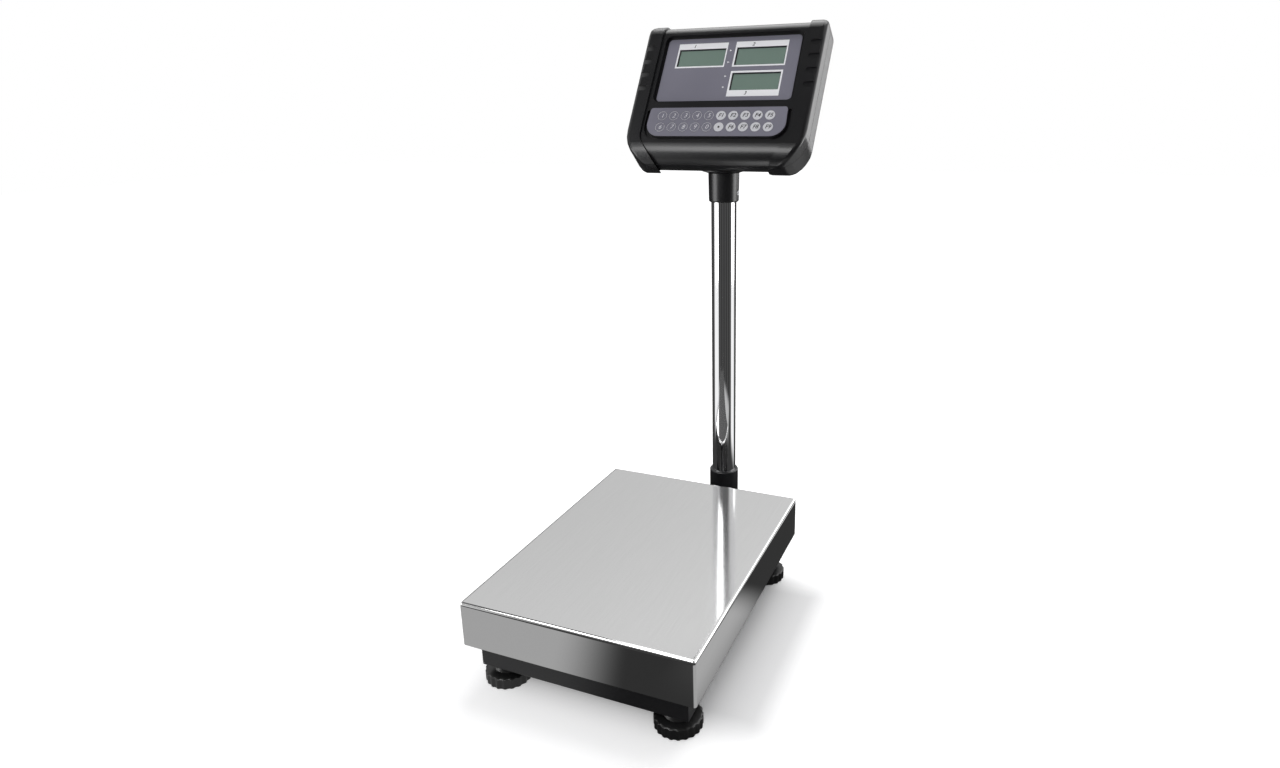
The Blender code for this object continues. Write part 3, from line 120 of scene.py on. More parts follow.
def tint(material, factor, dark, light, target):
    """Mix two colours by a factor."""
    ramp = node(material.node_tree, "ShaderNodeValToRGB")
    ramp.color_ramp.elements[0].position = 0.3
    ramp.color_ramp.elements[1].position = 0.7
    ramp.color_ramp.elements[0].color = (*dark, 1.0)
    ramp.color_ramp.elements[1].color = (*light, 1.0)
    material.node_tree.links.new(factor, ramp.inputs["Fac"])
    material.node_tree.links.new(ramp.outputs["Color"], target)


def bump(material, factor, shader, strength, distance):
    """Drive a shader's normal with a height."""
    relief = node(material.node_tree, "ShaderNodeBump", Strength=strength, Distance=distance)
    material.node_tree.links.new(factor, relief.inputs["Height"])
    material.node_tree.links.new(relief.outputs["Normal"], shader.inputs["Normal"])


# Materials: scales are in repeats per metre, depths in metres

CLOUD_SCALE = 9.0
GRAIN_STRENGTH = 0.35
BRUSH_SCALE = 900.0
BRUSH_STRENGTH = 0.15
BRUSH_SHADE = 0.02
BRUSH_CLOUD_SCALE = 6.0


def grained(name, colour, roughness, scale, depth, metallic=0.0, shade=0.15, rough_swing=0.05):
    """A moulded or coated surface: fine grain, slight mottling and uneven gloss."""
    material, shader = principled(name, colour, roughness, metallic)
    fine = noise(material, scale, detail=2.0)
    cloudy = noise(material, CLOUD_SCALE, detail=5.0)
    tint(material, cloudy, [c * (1 - shade) for c in colour], [c * (1 + shade) for c in colour],
         shader.inputs["Base Color"])
    spread(material, cloudy, roughness - rough_swing, roughness + rough_swing, shader.inputs["Roughness"])
    bump(material, fine, shader, GRAIN_STRENGTH, depth)
    return material


def brushed(name, colour, roughness, stretch, depth):
    """Brushed metal: fine lines along one axis."""
    material, shader = principled(name, colour, roughness, 1.0)
    lines = noise(material, BRUSH_SCALE, stretch, detail=3.0, roughness=0.6)
    cloudy = noise(material, BRUSH_CLOUD_SCALE, detail=4.0)
    tint(material, lines, [c * (1 - BRUSH_SHADE) for c in colour], [c * (1 + BRUSH_SHADE) for c in colour],
         shader.inputs["Base Color"])
    spread(material, cloudy, roughness - 0.02, roughness + 0.03, shader.inputs["Roughness"])
    bump(material, lines, shader, BRUSH_STRENGTH, depth)
    return material


MATERIALS = {
    "stainless": brushed("stainless", (0.62, 0.62, 0.62), 0.085, (1.0, 0.02, 1.0), 0.000003),
    "frame_paint": grained("frame_paint", (0.009, 0.009, 0.010), 0.38, 1400.0, 0.00003),
    "chrome_tube": grained("chrome_tube", (0.84, 0.84, 0.85), 0.05, 1800.0, 0.0000005, metallic=1.0,
                           shade=0.02, rough_swing=0.015),
    "black_moulding": grained("black_moulding", (0.0065, 0.0065, 0.0075), 0.30, 2200.0, 0.00002),
    # The side walls' black plastic painted a lighter grey for the ribs: painted rim light, on top of the rim
    # lamp
    "ribs_painted_rim_light": grained("ribs_painted_rim_light", (0.060, 0.060, 0.062), 0.36, 2200.0, 0.00002),
    "foot_plastic": grained("foot_plastic", (0.009, 0.009, 0.009), 0.34, 1800.0, 0.00003),
    "zinc_steel": grained("zinc_steel", (0.55, 0.56, 0.58), 0.30, 2000.0, 0.00001, metallic=1.0, shade=0.06),
    "cell_aluminium": brushed("cell_aluminium", (0.70, 0.70, 0.71), 0.32, (1.0, 0.05, 1.0), 0.00001),
    "pad_rubber": grained("pad_rubber", (0.020, 0.020, 0.020), 0.75, 1500.0, 0.00005),
    "panel_print": grained("panel_print", (0.200, 0.196, 0.240), 0.30, 2600.0, 0.00001, shade=0.05),
    "key_print": grained("key_print", (0.64, 0.64, 0.67), 0.38, 2600.0, 0.00001, shade=0.04),
    "white_print": grained("white_print", (0.88, 0.88, 0.90), 0.40, 2600.0, 0.00001, shade=0.03),
    "dark_print": grained("dark_print", (0.012, 0.012, 0.014), 0.40, 2600.0, 0.00001, shade=0.05),
    "lcd_glass": grained("lcd_glass", (0.180, 0.250, 0.212), 0.20, 3000.0, 0.000002, shade=0.06,
                         rough_swing=0.03),
    "board": grained("board", (0.02, 0.16, 0.06), 0.50, 800.0, 0.00004),
    "battery_case": grained("battery_case", (0.05, 0.05, 0.06), 0.55, 1200.0, 0.00004),
    "gloss_black": grained("gloss_black", (0.008, 0.008, 0.009), 0.16, 2000.0, 0.00001),
}


# Outlines and meshes


def arc(centre, radius, start, end, steps):
    """Points on an arc, angles in degrees, both ends included."""
    return [(centre[0] + radius * math.cos(math.radians(start + (end - start) * i / steps)),
             centre[1] + radius * math.sin(math.radians(start + (end - start) * i / steps)))
            for i in range(steps + 1)]


def circle(centre, radius, steps=48):
    """Points round a full circle."""
    return arc(centre, radius, 0, 360 - 360 / steps, steps - 1)


def rectangle(u_low, u_high, v_low, v_high):
    """A plain rectangle."""
    return [(u_low, v_low), (u_high, v_low), (u_high, v_high), (u_low, v_high)]


def soft_rectangle(half_u, half_v, radius):
    """A rectangle with round corners, centred."""
    points = []
    for side_u, side_v, start in ((1, 1, 0), (-1, 1, 90), (-1, -1, 180), (1, -1, 270)):
        points += arc((side_u * (half_u - radius), side_v * (half_v - radius)), radius, start, start + 90, 6)
    return points


def upright(x, y, z):
    """A point in the frame's own directions."""
    return Vector((x, y, z))


def on_head(u, v, n):
    """A point given across the face, up it and out of it."""
    back = v * math.sin(TILT) - n * math.cos(TILT)
    up = v * math.cos(TILT) + n * math.sin(TILT)
    return FACE + Vector((u, back, up))


def plate(body, outline, low, high, place=on_head):
    """A closed plate on an outline."""
    pierced(body, [outline], low, high, place)


def pierced(body, loops, low, high, place=on_head):
    """A closed plate on an outline, with holes where more loops are given."""
    flat = [point for loop in loops for point in loop]
    rows = [[body.verts.new(place(a, b, level)) for a, b in flat] for level in (low, high)]
    faces = []
    for corners in tessellate_polygon([[Vector((a, b, 0.0)) for a, b in loop] for loop in loops]):
        faces.append(body.faces.new([rows[1][i] for i in corners]))
        faces.append(body.faces.new([rows[0][i] for i in reversed(corners)]))
    first = 0
    for loop in loops:
        count = len(loop)
        for i in range(count):
            here, there = first + i, first + (i + 1) % count
            faces.append(body.faces.new((rows[0][here], rows[0][there], rows[1][there], rows[1][here])))
        first += count
    bmesh.ops.recalc_face_normals(body, faces=faces)


def band(body, outer, inner, low, high, place=on_head):
    """A closed flat ring between two outlines with equal counts of points."""
    rows = [[body.verts.new(place(a, b, level)) for a, b in outline]
            for outline, level in ((outer, low), (outer, high), (inner, high), (inner, low))]
    count = len(outer)
    faces = []
    for k in range(4):
        here, there = rows[k], rows[(k + 1) % 4]
        faces += [body.faces.new((here[i], here[(i + 1) % count], there[(i + 1) % count], there[i]))
                  for i in range(count)]
    bmesh.ops.recalc_face_normals(body, faces=faces)


def linked(name, data):
    """A new object in the scene."""
    made = bpy.data.objects.new(name, data)
    bpy.context.scene.collection.objects.link(made)
    return made


SHARP_ANGLE = math.radians(32)


def new_piece(name, body, material, rides):
    """Turn a bmesh into a named object on a body."""
    mesh = bpy.data.meshes.new(name)
    body.to_mesh(mesh)
    body.free()
    mesh.shade_smooth()
    mesh.set_sharp_from_angle(angle=SHARP_ANGLE)
    made = linked(name, mesh)
    mesh.materials.append(MATERIALS[material])
    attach(made, rides)
    return made


def solid_copy(name):
    """A bmesh of a solid, in the frame's own directions."""
    original = frame["nodes"][name]
    body = bmesh.new()
    body.from_mesh(original.data)
    body.transform(original.matrix_world)
    return body


# Smooth, softly edged copies of the solids

SAME_POINT = 0.000002
FLAT_ANGLE = math.radians(0.15)
CAP_FLAT_ANGLE = math.radians(1.2)
SOFT_EDGE = 0.0004
SOFT_EDGE_STEPS = 2
SOFT_EDGE_ANGLE = math.radians(38)
EVEN_WEIGHT = 100
PLAIN_EDGES = ("pan", "circuit_board", "side_cap_left", "side_cap_right", "keypad_membrane", "display_module",
               "base_frame")
DRAWN_ANEW = ("display_window", "column_tube")


def dress(name):
    """A copy of a solid that stands for it, with even normals and narrow round edges."""
    body = solid_copy(name)
    bmesh.ops.remove_doubles(body, verts=body.verts, dist=SAME_POINT)
    flat = CAP_FLAT_ANGLE if name.startswith("side_cap") else FLAT_ANGLE
    bmesh.ops.dissolve_limit(body, angle_limit=flat, verts=body.verts, edges=body.edges)
    made = new_piece(f"{name}_shell", body, SLOT_OF[name], BODY_OF[name])
    if name not in PLAIN_EDGES:
        edge = made.modifiers.new("edge", "BEVEL")
        edge.width = SOFT_EDGE
        edge.segments = SOFT_EDGE_STEPS
        edge.limit_method = "ANGLE"
        edge.angle_limit = SOFT_EDGE_ANGLE
        edge.harden_normals = True
    even = made.modifiers.new("even", "WEIGHTED_NORMAL")
    even.keep_sharp = True
    even.weight = EVEN_WEIGHT
    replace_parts(made, name)


def dress_all():
    """Dress every solid, apart from those drawn anew."""
    for name in frame["nodes"]:
        if not name.startswith("key_") and name not in DRAWN_ANEW:
            dress(name)


# The column

COLUMN_STEPS = 160


def column_details():
    """The column as a finely rounded tube."""
    original = frame["nodes"]["column_tube"]
    heights = [(original.matrix_world @ vertex.co).z for vertex in original.data.vertices]
    outside = circle(COLUMN, COLUMN_RADIUS, COLUMN_STEPS)
    inside = circle(COLUMN, COLUMN_RADIUS - COLUMN_WALL, COLUMN_STEPS)
    body = bmesh.new()
    band(body, outside, inside, min(heights), max(heights), upright)
    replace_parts(new_piece("column_chrome", body, "chrome_tube", BODY_OF["column_tube"]),
                "column_tube")


# Printed details on the display film

FILM = 0.00012
LETTER_STEPS = 3
SLANT = 0.25
LCD_FRAMES = (
    # outer left, right, low, high; window left, right, low, high
    ((-0.0853, -0.0072, 0.0031, 0.0448), (-0.0830, -0.0090, 0.0055, 0.0350)),
    ((0.0052, 0.0850, 0.0030, 0.0453), (0.0077, 0.0830, 0.0054, 0.0355)),
    ((0.0057, 0.0841, -0.0467, -0.0044), (0.0084, 0.0817, -0.0365, -0.0074)),
)
# How far the dark ring shows inside each window, left, right, low, high: wide at the left and top as painted
# shadow
WINDOW_SHADOW_INSETS = (0.0022, -0.0006, 0.0006, -0.0020)
FRAME_LABELS = (("1", -0.060, 0.0398), ("2", 0.032, 0.0400), ("3", 0.034, -0.0416))
LABEL_SIZE = 0.0075
LABEL_LEVEL = FILM * 1.3
DARK_BOLD = 0.0001
SIDE_MARKS = (0.031, 0.011, -0.0127, -0.031)
MARK_LEFT = -0.0030
MARK_RIGHT = 0.0002
MARK_HALF = 0.0014


def lettering(name, words, size, centre, level, material, rides, bold):
    """Flat printed words on the head's face."""
    curve = bpy.data.curves.new(name, "FONT")
    curve.body = words
    curve.size = size
    curve.align_x = "CENTER"
    curve.align_y = "CENTER"
    curve.extrude = FILM / 2
    curve.offset = bold
    curve.shear = SLANT
    curve.resolution_u = LETTER_STEPS
    written = bpy.data.objects.new(name, curve)
    mesh = bpy.data.meshes.new_from_object(written)
    bpy.data.objects.remove(written, do_unlink=True)
    mesh.transform(Matrix.Translation(on_head(*centre, level)) @ Matrix.Rotation(math.pi / 2 - TILT, 4, "X"))
    mesh.name = name
    made = linked(name, mesh)
    mesh.materials.clear()
    mesh.materials.append(MATERIALS[material])
    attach(made, rides)


def display_film():
    """The printed film with its three windows."""
    film = bmesh.new()
    windows = [rectangle(*window) for _, window in LCD_FRAMES]
    pierced(film, [soft_rectangle(*WINDOW_HALF, WINDOW_CORNER)] + windows, -WINDOW_THICK, 0.0)
    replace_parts(new_piece("display_film", film, "panel_print", "head"), "display_window")


def display_frames():
    """A white frame round each window, and behind it a dark ring, wide at the top and left, that is a painted
    shadow of the window's edge.
    """
    frames, window_shadows = bmesh.new(), bmesh.new()
    for outer, window in LCD_FRAMES:
        band(frames, rectangle(*outer), rectangle(*window), -FILM, FILM)
        seen = [edge + inset for edge, inset in zip(window, WINDOW_SHADOW_INSETS)]
        reach = [window[0] - FILM, window[1] + FILM, window[2] - FILM, window[3] + FILM]
        # The dark ring is painted shadow from the window's edge, not a gasket
        band(window_shadows, rectangle(*reach), rectangle(*seen), -WINDOW_THICK - 2 * FILM, -WINDOW_THICK)
    new_piece("display_frames", frames, "white_print", "head")
    new_piece("display_window_shadows", window_shadows, "dark_print", "head")


def display_marks():
    """A plain number on each frame, and small triangles beside the windows."""
    for words, u, v in FRAME_LABELS:
        lettering(f"label_{words}", words, LABEL_SIZE, (u, v), LABEL_LEVEL, "dark_print",
                  "head", DARK_BOLD)
    marks = bmesh.new()
    for v in SIDE_MARKS:
        plate(marks, [(MARK_LEFT, v + MARK_HALF), (MARK_LEFT, v - MARK_HALF), (MARK_RIGHT, v)], -FILM, FILM)
    new_piece("side_marks", marks, "white_print", "head")


# Keys: five with a ringed digit and five light ones with a dark sign in each row

KEY_TOP = KEYPAD_FACE + 0.0002
PRINT_LEVEL = KEY_TOP - 0.00006
CAP_TOP = KEY_TOP - 0.00008
CAP_FOOT = KEY_TOP - 0.0012
CAP_RADIUS = KEY_RADIUS - 0.0001
RING_FOOT = KEY_TOP - 0.0002
RING_OUTER = KEY_RADIUS - 0.0003
RING_INNER = KEY_RADIUS - 0.00056
DOT_RADIUS = 0.0016
DIGIT_SIZE = 0.0098
DIGIT_BOLD = -0.00016
SIGN_SIZE = 0.0086
NUMBER_KEYS = 5
DIGITS = ("1", "2", "3", "4", "5", "6", "7", "8", "9", "0")
SIGNS = ("F1", "F2", "F3", "F4", "F5", "", "F6", "F7", "F8", "F9")
KEY_ORDER = (
    ("key_1", "key_2", "key_3", "key_4", "key_5",
     "key_unit_weight", "key_pieces", "key_add", "key_recall", "key_preset"),
    ("key_6", "key_7", "key_8", "key_9", "key_0",
     "key_point", "key_clear", "key_check", "key_tare", "key_zero"),
)


def key_cap(name, centre, material):
    """A key's round cap."""
    body = bmesh.new()
    plate(body, circle(centre, CAP_RADIUS), CAP_FOOT, CAP_TOP)
    cap = new_piece(f"{name}_cap", body, material, name)
    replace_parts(cap, name)


def number_key(name, centre, digit):
    """A key in the panel's colour with a white ring and a digit."""
    key_cap(name, centre, "panel_print")
    ring = bmesh.new()
    band(ring, circle(centre, RING_OUTER), circle(centre, RING_INNER), RING_FOOT, KEY_TOP)
    new_piece(f"{name}_ring", ring, "white_print", name)
    lettering(f"{name}_digit", digit, DIGIT_SIZE, centre, PRINT_LEVEL, "white_print",
              name, DIGIT_BOLD)


def light_key(name, centre, sign):
    """A light key with a dark sign, or a dot where the sign is empty."""
    key_cap(name, centre, "key_print")
    if sign:
        lettering(f"{name}_sign", sign, SIGN_SIZE, centre, PRINT_LEVEL, "dark_print",
                  name, DARK_BOLD)
    else:
        dot = bmesh.new()
        plate(dot, circle(centre, DOT_RADIUS), RING_FOOT, KEY_TOP)
        new_piece(f"{name}_dot", dot, "dark_print", name)


def key_details():
    """All keys, row by row."""
    for row, v in enumerate(KEY_ROWS):
        for column, name in enumerate(KEY_ORDER[row]):
            centre = (KEY_FIRST + column * KEY_PITCH, v)
            if column < NUMBER_KEYS:
                number_key(name, centre, DIGITS[row * NUMBER_KEYS + column])
            else:
                light_key(name, centre, SIGNS[row * NUMBER_KEYS + column - NUMBER_KEYS])


# Fine ribs along the head's side walls

RIB_PITCH = 0.0016
RIB_HALF = 0.0006
RIB_HEIGHT = 0.00008
RIB_FRONT = -0.0045
RIB_REAR = -0.0350
SEAM_MARGIN = 0.0012
# Where the dark strip of painted seam shade lies, and its half width
SEAM_LINE = SEAM - 0.0004
SEAM_HALF = 0.0003
RIB_BANDS = (
    ("cap_ribs", RIB_FRONT, SEAM + SEAM_MARGIN, "side_cap"),
    ("rear_ribs", SEAM - SEAM_MARGIN, RIB_REAR, "rear_shell"),
)
CORNER_LEVELS = [-0.1100 + 0.0015 * k for k in range(20)]
WALL_LEVELS = [-0.0785 + 0.004 * k for k in range(38)]
OUTSIDE = 0.2
LEAST_SLOPE = 0.4


def wall_tree(name):
    """A solid's surface, to find the side walls on."""
    body = solid_copy(name)
    surface = BVHTree.FromBMesh(body)
    body.free()
    return surface


def wall_at(surface, side, v, n):
    """The side wall's point and outward direction at a level and a depth, or None past its end."""
    hit, normal, _, _ = surface.ray_cast(on_head(side * OUTSIDE, v, n), Vector((-side, 0.0, 0.0)))
    if hit is None or abs(normal.x) < LEAST_SLOPE:
        return None
    return hit, normal if normal.x * side > 0 else -normal


def rib(body, surface, side, n, half=RIB_HALF):
    """One thin ridge along a side wall at a depth."""
    across = on_head(0.0, 0.0, half) - on_head(0.0, 0.0, 0.0)
    rows = []
    for v in CORNER_LEVELS + WALL_LEVELS:
        found = wall_at(surface, side, v, n)
        if found:
            out = found[1] * RIB_HEIGHT
            rows.append([body.verts.new(found[0] + shift) for shift in (-across - out, out, across - out)])
    for low, high in zip(rows, rows[1:]):
        for i in range(3):
            body.faces.new((low[i], low[(i + 1) % 3], high[(i + 1) % 3], high[i]))
    body.faces.new(rows[0])
    body.faces.new(rows[-1][::-1])


def side_ribs():
    """Two bands of fine ribs on each side wall, painted a lighter grey as rim light, and a dark strip along
    the seam between them as painted shade of its gap.
    """
    for mark, side in (("left", -1), ("right", 1)):
        for name, start, end, solid in RIB_BANDS:
            surface = wall_tree(f"side_cap_{mark}" if solid == "side_cap" else solid)
            body = bmesh.new()
            for k in range(int((start - end) / RIB_PITCH)):
                rib(body, surface, side, start - k * RIB_PITCH)
            bmesh.ops.recalc_face_normals(body, faces=body.faces)
            # The ribs take a lighter grey than the black walls: painted rim light
            new_piece(f"{name}_{mark}", body, "ribs_painted_rim_light", "head")
        # A dark matte strip along the seam: painted shade standing for the shadow in the gap between cap and
        # rear shell
        seam_painted_shade = bmesh.new()
        rib(seam_painted_shade, wall_tree("rear_shell"), side, SEAM_LINE, SEAM_HALF)
        bmesh.ops.recalc_face_normals(seam_painted_shade, faces=seam_painted_shade.faces)
        new_piece(f"seam_{mark}", seam_painted_shade, "pad_rubber", "head")


# Node sums for the studio


def maths(tree, kind, first, second=None):
    """A math node on sockets or numbers."""
    made = tree.nodes.new("ShaderNodeMath")
    made.operation = kind
    for socket, value in zip(made.inputs, (first, second)):
        if isinstance(value, (int, float)):
            socket.default_value = value
        elif value is not None:
            tree.links.new(value, socket)
    return made.outputs[0]


def total(tree, first, *others):
    """The sum of sockets and numbers."""
    for other in others:
        first = maths(tree, "ADD", first, other)
    return first


def product(tree, first, *others):
    """The product of sockets and numbers."""
    for other in others:
        first = maths(tree, "MULTIPLY", first, other)
    return first


def past(tree, value, limit):
    """How far a value is past a limit, and 0 before it."""
    return maths(tree, "MAXIMUM", maths(tree, "SUBTRACT", value, limit), 0.0)


def smooth(tree, value, start, end):
    """A smooth step from 0 at start to 1 at end."""
    made = node(tree, "ShaderNodeMapRange", From_Min=start, From_Max=end)
    made.interpolation_type = "SMOOTHSTEP"
    tree.links.new(value, made.inputs["Value"])
    return made.outputs["Result"]


def sector(tree, turn, start, full, fading, end):
    """1 between two angles in degrees, fading to 0 at start and end."""
    rising = smooth(tree, turn, math.radians(start), math.radians(full))
    return product(tree, rising, smooth(tree, turn, math.radians(end), math.radians(fading)))


def axes(tree, place):
    """The three parts of a position."""
    split = node(tree, "ShaderNodeSeparateXYZ")
    tree.links.new(place, split.inputs["Vector"])
    return [split.outputs[axis] for axis in "XYZ"]


def mirrored(tree):
    """1 for rays that metal or glass sends out."""
    path = node(tree, "ShaderNodeLightPath")
    return maths(tree, "MAXIMUM", path.outputs["Is Glossy Ray"], path.outputs["Is Transmission Ray"])


# What metal sees: angles are in degrees from the frame's x axis, round the column on the floor

DARK_ROOM = 0.045
RIGHT_SHEET = (-4, 6, 36, 46)
LEFT_SHEET = (-172, -164, -126, -116)
LINE_LEVEL = 0.05
LINE_RATE = 17.0


def sides(tree, x, y):
    """White sheets on both sides of the column as seen from it, and fine lines in the dark between them."""
    turn = maths(tree, "ARCTAN2", y, x)
    wave = maths(tree, "SINE", product(tree, turn, LINE_RATE))
    lines = product(tree, LINE_LEVEL, maths(tree, "MAXIMUM", 0.0, wave))
    return total(tree, lines, sector(tree, turn, *RIGHT_SHEET), sector(tree, turn, *LEFT_SHEET))


# The floor: a glow lifts it to white for the camera outside the base and fades towards the base, painting a
# shadow round the base on top of the real shadow

FLOOR_HALF = 8.0
FLOOR_DEPTH = 0.01
FLOOR_COLOUR = (0.80, 0.80, 0.80)
FLOOR_ROUGHNESS = 0.9
SHADOW_LEFT = -0.08
SHADOW_RIGHT = 0.19
SHADOW_RIGHT_RATE = 1.2
SHADOW_HALF_DEPTH = 0.13
NEAR_LIFT = 0.50
NEAR_LIFT_RANGE = (-0.02, 0.075)
FAR_LIFT = 0.35
FAR_LIFT_RANGE = (0.12, 0.45)
SHEET_START = (0.36, 0.50)
PATCH_LEVEL = 0.51
PATCH_END = (0.62, 0.50)
PATCH_SLANT = 0.40
PATCH_SLANT_CENTRE = 0.438
LEFT_PATCH_X = (0.0, -0.11)
LEFT_PATCH_Y = (-0.20, -0.30)
RIGHT_PATCH_X = (0.14, 0.20)
RIGHT_PATCH_Y = (0.045, -0.045)


def beyond(tree, x, y):
    """Distance outside the middle of the base, starting farther out on the right where the painted shadow
    reaches farther.
    """
    right = product(tree, past(tree, x, SHADOW_RIGHT), SHADOW_RIGHT_RATE)
    left = past(tree, SHADOW_LEFT, x)
    along = maths(tree, "ABSOLUTE", maths(tree, "SUBTRACT", y, PLAN_SHIFT))
    out_x = total(tree, right, left)
    out_y = past(tree, along, SHADOW_HALF_DEPTH)
    return maths(tree, "SQRT", total(tree, product(tree, out_x, out_x), product(tree, out_y, out_y)))


def floor_glow_with_painted_shadow(tree, shader, x, y):
    """The lit floor with the glow that lifts it to white, weaker near the base as a painted shadow."""
    out = beyond(tree, x, y)
    # The glow fades near the base and starts farther out on the right: a painted shadow shaped like the cast
    # shadow
    glow_outside_painted_shadow = total(tree, product(tree, smooth(tree, out, *NEAR_LIFT_RANGE), NEAR_LIFT),
                 product(tree, smooth(tree, out, *FAR_LIFT_RANGE), FAR_LIFT))
    path = node(tree, "ShaderNodeLightPath")
    glow = node(tree, "ShaderNodeEmission")
    tree.links.new(product(tree, glow_outside_painted_shadow, path.outputs["Is Camera Ray"]), glow.inputs["Strength"])
    both = node(tree, "ShaderNodeAddShader")
    tree.links.new(shader.outputs["BSDF"], both.inputs[0])
    tree.links.new(glow.outputs["Emission"], both.inputs[1])
    return both.outputs["Shader"]


def floor_painted_reflections(tree, place, x, y):
    """Painted reflections: the sheets' feet far out, and light patches near the pan's front and right faces,
    which the floor shows only to metal and glass.
    """
    far = node(tree, "ShaderNodeVectorMath")
    far.operation = "LENGTH"
    tree.links.new(place, far.inputs[0])
    distance = far.outputs["Value"]
    from_column = maths(tree, "SUBTRACT", y, COLUMN.y)
    # The floor glows with these only for rays from metal and glass: painted reflections, not lit paper
    painted_sheets = product(tree, sides(tree, x, from_column), smooth(tree, distance, *SHEET_START))
    slant = maths(tree, "SUBTRACT", x, product(tree, total(tree, y, PATCH_SLANT_CENTRE), PATCH_SLANT))
    left = product(tree, smooth(tree, slant, *LEFT_PATCH_X), smooth(tree, y, *LEFT_PATCH_Y))
    right = product(tree, smooth(tree, x, *RIGHT_PATCH_X), smooth(tree, y, *RIGHT_PATCH_Y))
    painted_patches = product(tree, total(tree, left, right), smooth(tree, distance, *PATCH_END), PATCH_LEVEL)
    mirror = node(tree, "ShaderNodeEmission")
    tree.links.new(total(tree, DARK_ROOM, maths(tree, "MAXIMUM", painted_sheets, painted_patches)), mirror.inputs["Strength"])
    return mirror.outputs["Emission"]


def floor_paper():
    """The floor's material."""
    paper, shader = principled("floor_paper", FLOOR_COLOUR, FLOOR_ROUGHNESS)
    shader.inputs["Specular IOR Level"].default_value = 0.0
    tree = paper.node_tree
    place = node(tree, "ShaderNodeTexCoord").outputs["Object"]
    x, y, _ = axes(tree, place)
    mix = node(tree, "ShaderNodeMixShader")
    tree.links.new(mirrored(tree), mix.inputs["Fac"])
    tree.links.new(floor_glow_with_painted_shadow(tree, shader, x, y), mix.inputs[1])
    tree.links.new(floor_painted_reflections(tree, place, x, y), mix.inputs[2])
    tree.links.new(mix.outputs["Shader"], tree.nodes["Material Output"].inputs["Surface"])
    return paper


def studio():
    """A white floor with a painted shadow round the base on top of the real one, and painted reflections that
    only metal sees.
    """
    body = bmesh.new()
    plate(body, rectangle(-FLOOR_HALF, FLOOR_HALF, -FLOOR_HALF, FLOOR_HALF), -FLOOR_DEPTH, 0.0, upright)
    mesh = bpy.data.meshes.new("floor")
    body.to_mesh(mesh)
    body.free()
    mesh.materials.append(floor_paper())
    floor = linked("floor", mesh)


# The room: z is the sine of the elevation

ROOM_GREY = (0.45, 0.45, 0.46)
WHITE = (1.0, 1.0, 1.0)
BACK_EDGE = (-0.10, 0.25)
BACK_SPREAD = 0.35
HIGH_START = (0.20, 0.34)
HIGH_END = (0.86, 0.72)
BACK_LEVEL = 0.74
BACK_UP = (0.40, 0.62)
BACK_UP_GAIN = 0.12
BACK_RIGHT = (-0.55, -0.05)
BACK_RIGHT_GAIN = 0.14
FRONT_LEVEL = 0.60
FRONT_LOSS = 0.46
DARK_FRONT = (-125, -112, -28, -15)


def room_for_metal(tree):
    """A bright back and a dim front halfway up, and the sheets' upper parts below."""
    x, y, z = axes(tree, node(tree, "ShaderNodeTexCoord").outputs["Generated"])
    back = smooth(tree, total(tree, y, product(tree, maths(tree, "ABSOLUTE", x), BACK_SPREAD)), *BACK_EDGE)
    high = smooth(tree, z, *HIGH_START)
    low_part = product(tree, sides(tree, x, y), maths(tree, "SUBTRACT", 1.0, high))
    level = total(tree, BACK_LEVEL, product(tree, smooth(tree, z, *BACK_UP), BACK_UP_GAIN),
                  product(tree, smooth(tree, x, *BACK_RIGHT), BACK_RIGHT_GAIN))
    facing = sector(tree, maths(tree, "ARCTAN2", y, x), *DARK_FRONT)
    front = maths(tree, "SUBTRACT", FRONT_LEVEL, product(tree, facing, FRONT_LOSS))
    round_all = total(tree, product(tree, back, level),
                      product(tree, maths(tree, "SUBTRACT", 1.0, back), front))
    sheet = product(tree, round_all, high, smooth(tree, z, *HIGH_END))
    mirror = node(tree, "ShaderNodeBackground", Color=(*WHITE, 1.0))
    tree.links.new(total(tree, low_part, sheet, DARK_ROOM), mirror.inputs["Strength"])
    return mirror.outputs["Background"]


def world():
    """White to the camera, a soft grey room to surfaces, and sheets and dark to metal."""
    room = bpy.data.worlds.new("room")
    room.use_nodes = True
    tree = room.node_tree
    background = tree.nodes["Background"]
    background.inputs["Color"].default_value = (*ROOM_GREY, 1.0)
    white = node(tree, "ShaderNodeBackground", Color=(*WHITE, 1.0), Strength=1.0)
    path = node(tree, "ShaderNodeLightPath")
    first = node(tree, "ShaderNodeMixShader")
    tree.links.new(mirrored(tree), first.inputs["Fac"])
    tree.links.new(background.outputs["Background"], first.inputs[1])
    tree.links.new(room_for_metal(tree), first.inputs[2])
    second = node(tree, "ShaderNodeMixShader")
    tree.links.new(path.outputs["Is Camera Ray"], second.inputs["Fac"])
    tree.links.new(first.outputs["Shader"], second.inputs[1])
    tree.links.new(white.outputs["Background"], second.inputs[2])
    tree.links.new(second.outputs["Shader"], tree.nodes["World Output"].inputs["Surface"])
    bpy.context.scene.world = room


def soft_box(name, place, target, width, height, power, diffuse=True, glossy=True):
    """A rectangular area light turned to a point."""
    lamp = bpy.data.lights.new(name, "AREA")
    lamp.shape = "RECTANGLE"
    lamp.size = width
    lamp.size_y = height
    lamp.energy = power
    made = linked(name, lamp)
    made.location = place
    made.rotation_euler = (Vector(target) - Vector(place)).to_track_quat("-Z", "Y").to_euler()
    made.visible_camera = False
    made.visible_diffuse = diffuse
    made.visible_glossy = glossy


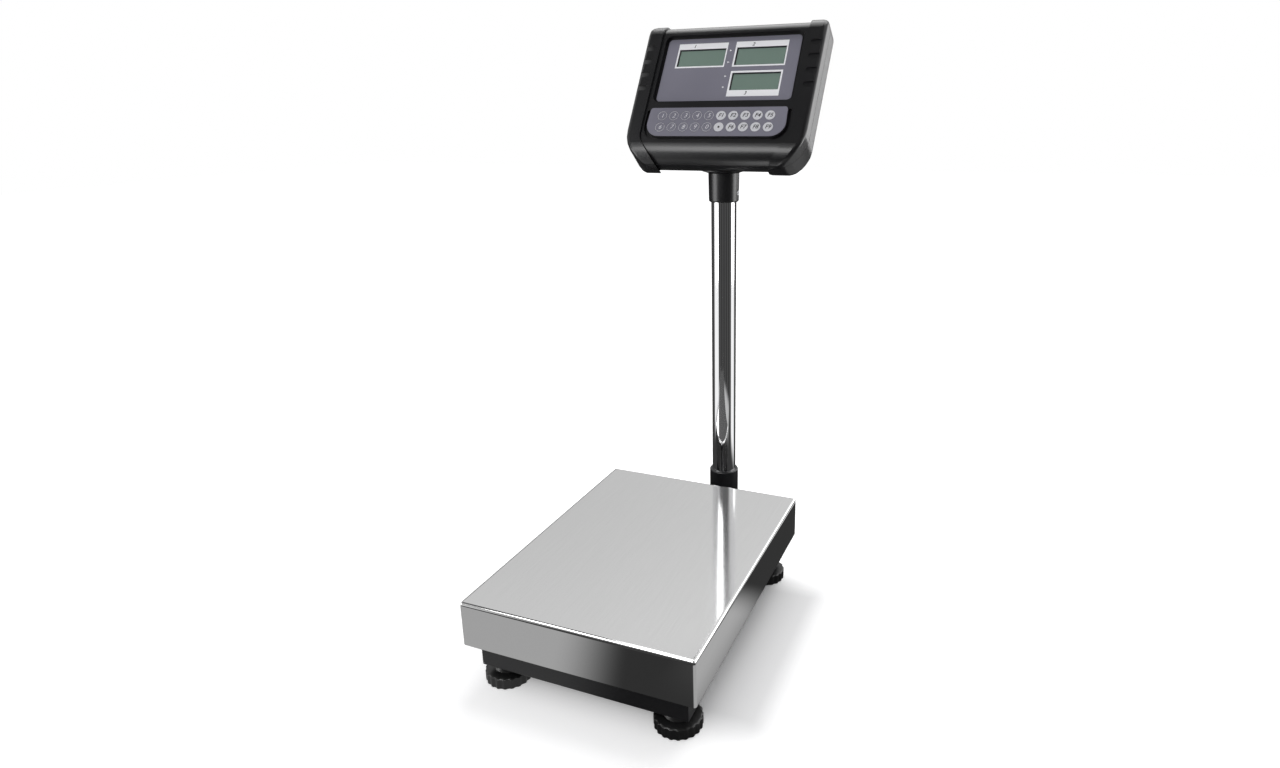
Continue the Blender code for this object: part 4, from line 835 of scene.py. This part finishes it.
def lights():
    """Light from above and behind, a weak fill in front, and cards that show only in gloss."""
    soft_box("top_box", (0.1, 0.9, 2.3), (0.0, 0.0, 0.3), 2.2, 1.4, 34.0)
    soft_box("front_box", (0.9, -2.1, 1.7), (0.0, 0.1, 0.6), 1.2, 0.9, 14.0, glossy=False)
    soft_box("rim_box", (1.35, 2.2, 0.90), (0.1, 0.2, 0.72), 1.5, 1.1, 14.0)
    soft_box("bend_card", (-0.27, -0.62, 0.93), (-0.17, -0.12, 0.43), 0.6, 0.5, 5.6, diffuse=False)
    soft_box("left_card", (-1.15, -0.77, 0.45), (0.0, 0.2, 0.45), 0.8, 0.7, 7.0, diffuse=False)
    soft_box("right_card", (1.38, 0.77, 0.45), (0.0, 0.2, 0.45), 0.8, 0.7, 7.0, diffuse=False)


# The photograph's camera: placed from the middle of the pan's top, focal length and centre in pixels

CAMERA_PLACE = (0.4239, -0.8643, 0.5536)
CAMERA_TURN = tuple(math.radians(a) for a in (-22.324, 16.749, 0.702))
CAMERA_FOCAL = 813.7
CAMERA_CENTRE = (692.4, 352.7)
PICTURE = (1280.0, 768.0)
SENSOR = 36.0


def camera():
    """A camera that matches the photograph."""
    yaw, pitch, roll = CAMERA_TURN
    forward = Vector((math.sin(yaw) * math.cos(pitch), math.cos(yaw) * math.cos(pitch), -math.sin(pitch)))
    right = Vector((math.cos(yaw), -math.sin(yaw), 0.0))
    down = forward.cross(right)
    right_turned = math.cos(roll) * right + math.sin(roll) * down
    down_turned = -math.sin(roll) * right + math.cos(roll) * down
    eye = bpy.data.cameras.new("photo_camera")
    eye.sensor_width = SENSOR
    eye.lens = CAMERA_FOCAL * SENSOR / PICTURE[0]
    eye.shift_x = (PICTURE[0] / 2 - CAMERA_CENTRE[0]) / PICTURE[0]
    eye.shift_y = (CAMERA_CENTRE[1] - PICTURE[1] / 2) / PICTURE[0]
    eye.clip_start = 0.01
    made = linked("photo_camera", eye)
    turn = Matrix((right_turned, -down_turned, -forward)).transposed().to_4x4()
    made.matrix_world = Matrix.Translation(Vector(CAMERA_PLACE) + Vector((0.0, PLAN_SHIFT, PAN_TOP))) @ turn
    bpy.context.scene.camera = made


bpy.context.scene.view_settings.view_transform = "Standard"
dress_all()
column_details()
display_film()
display_frames()
display_marks()
key_details()
side_ribs()
studio()
world()
lights()
camera()
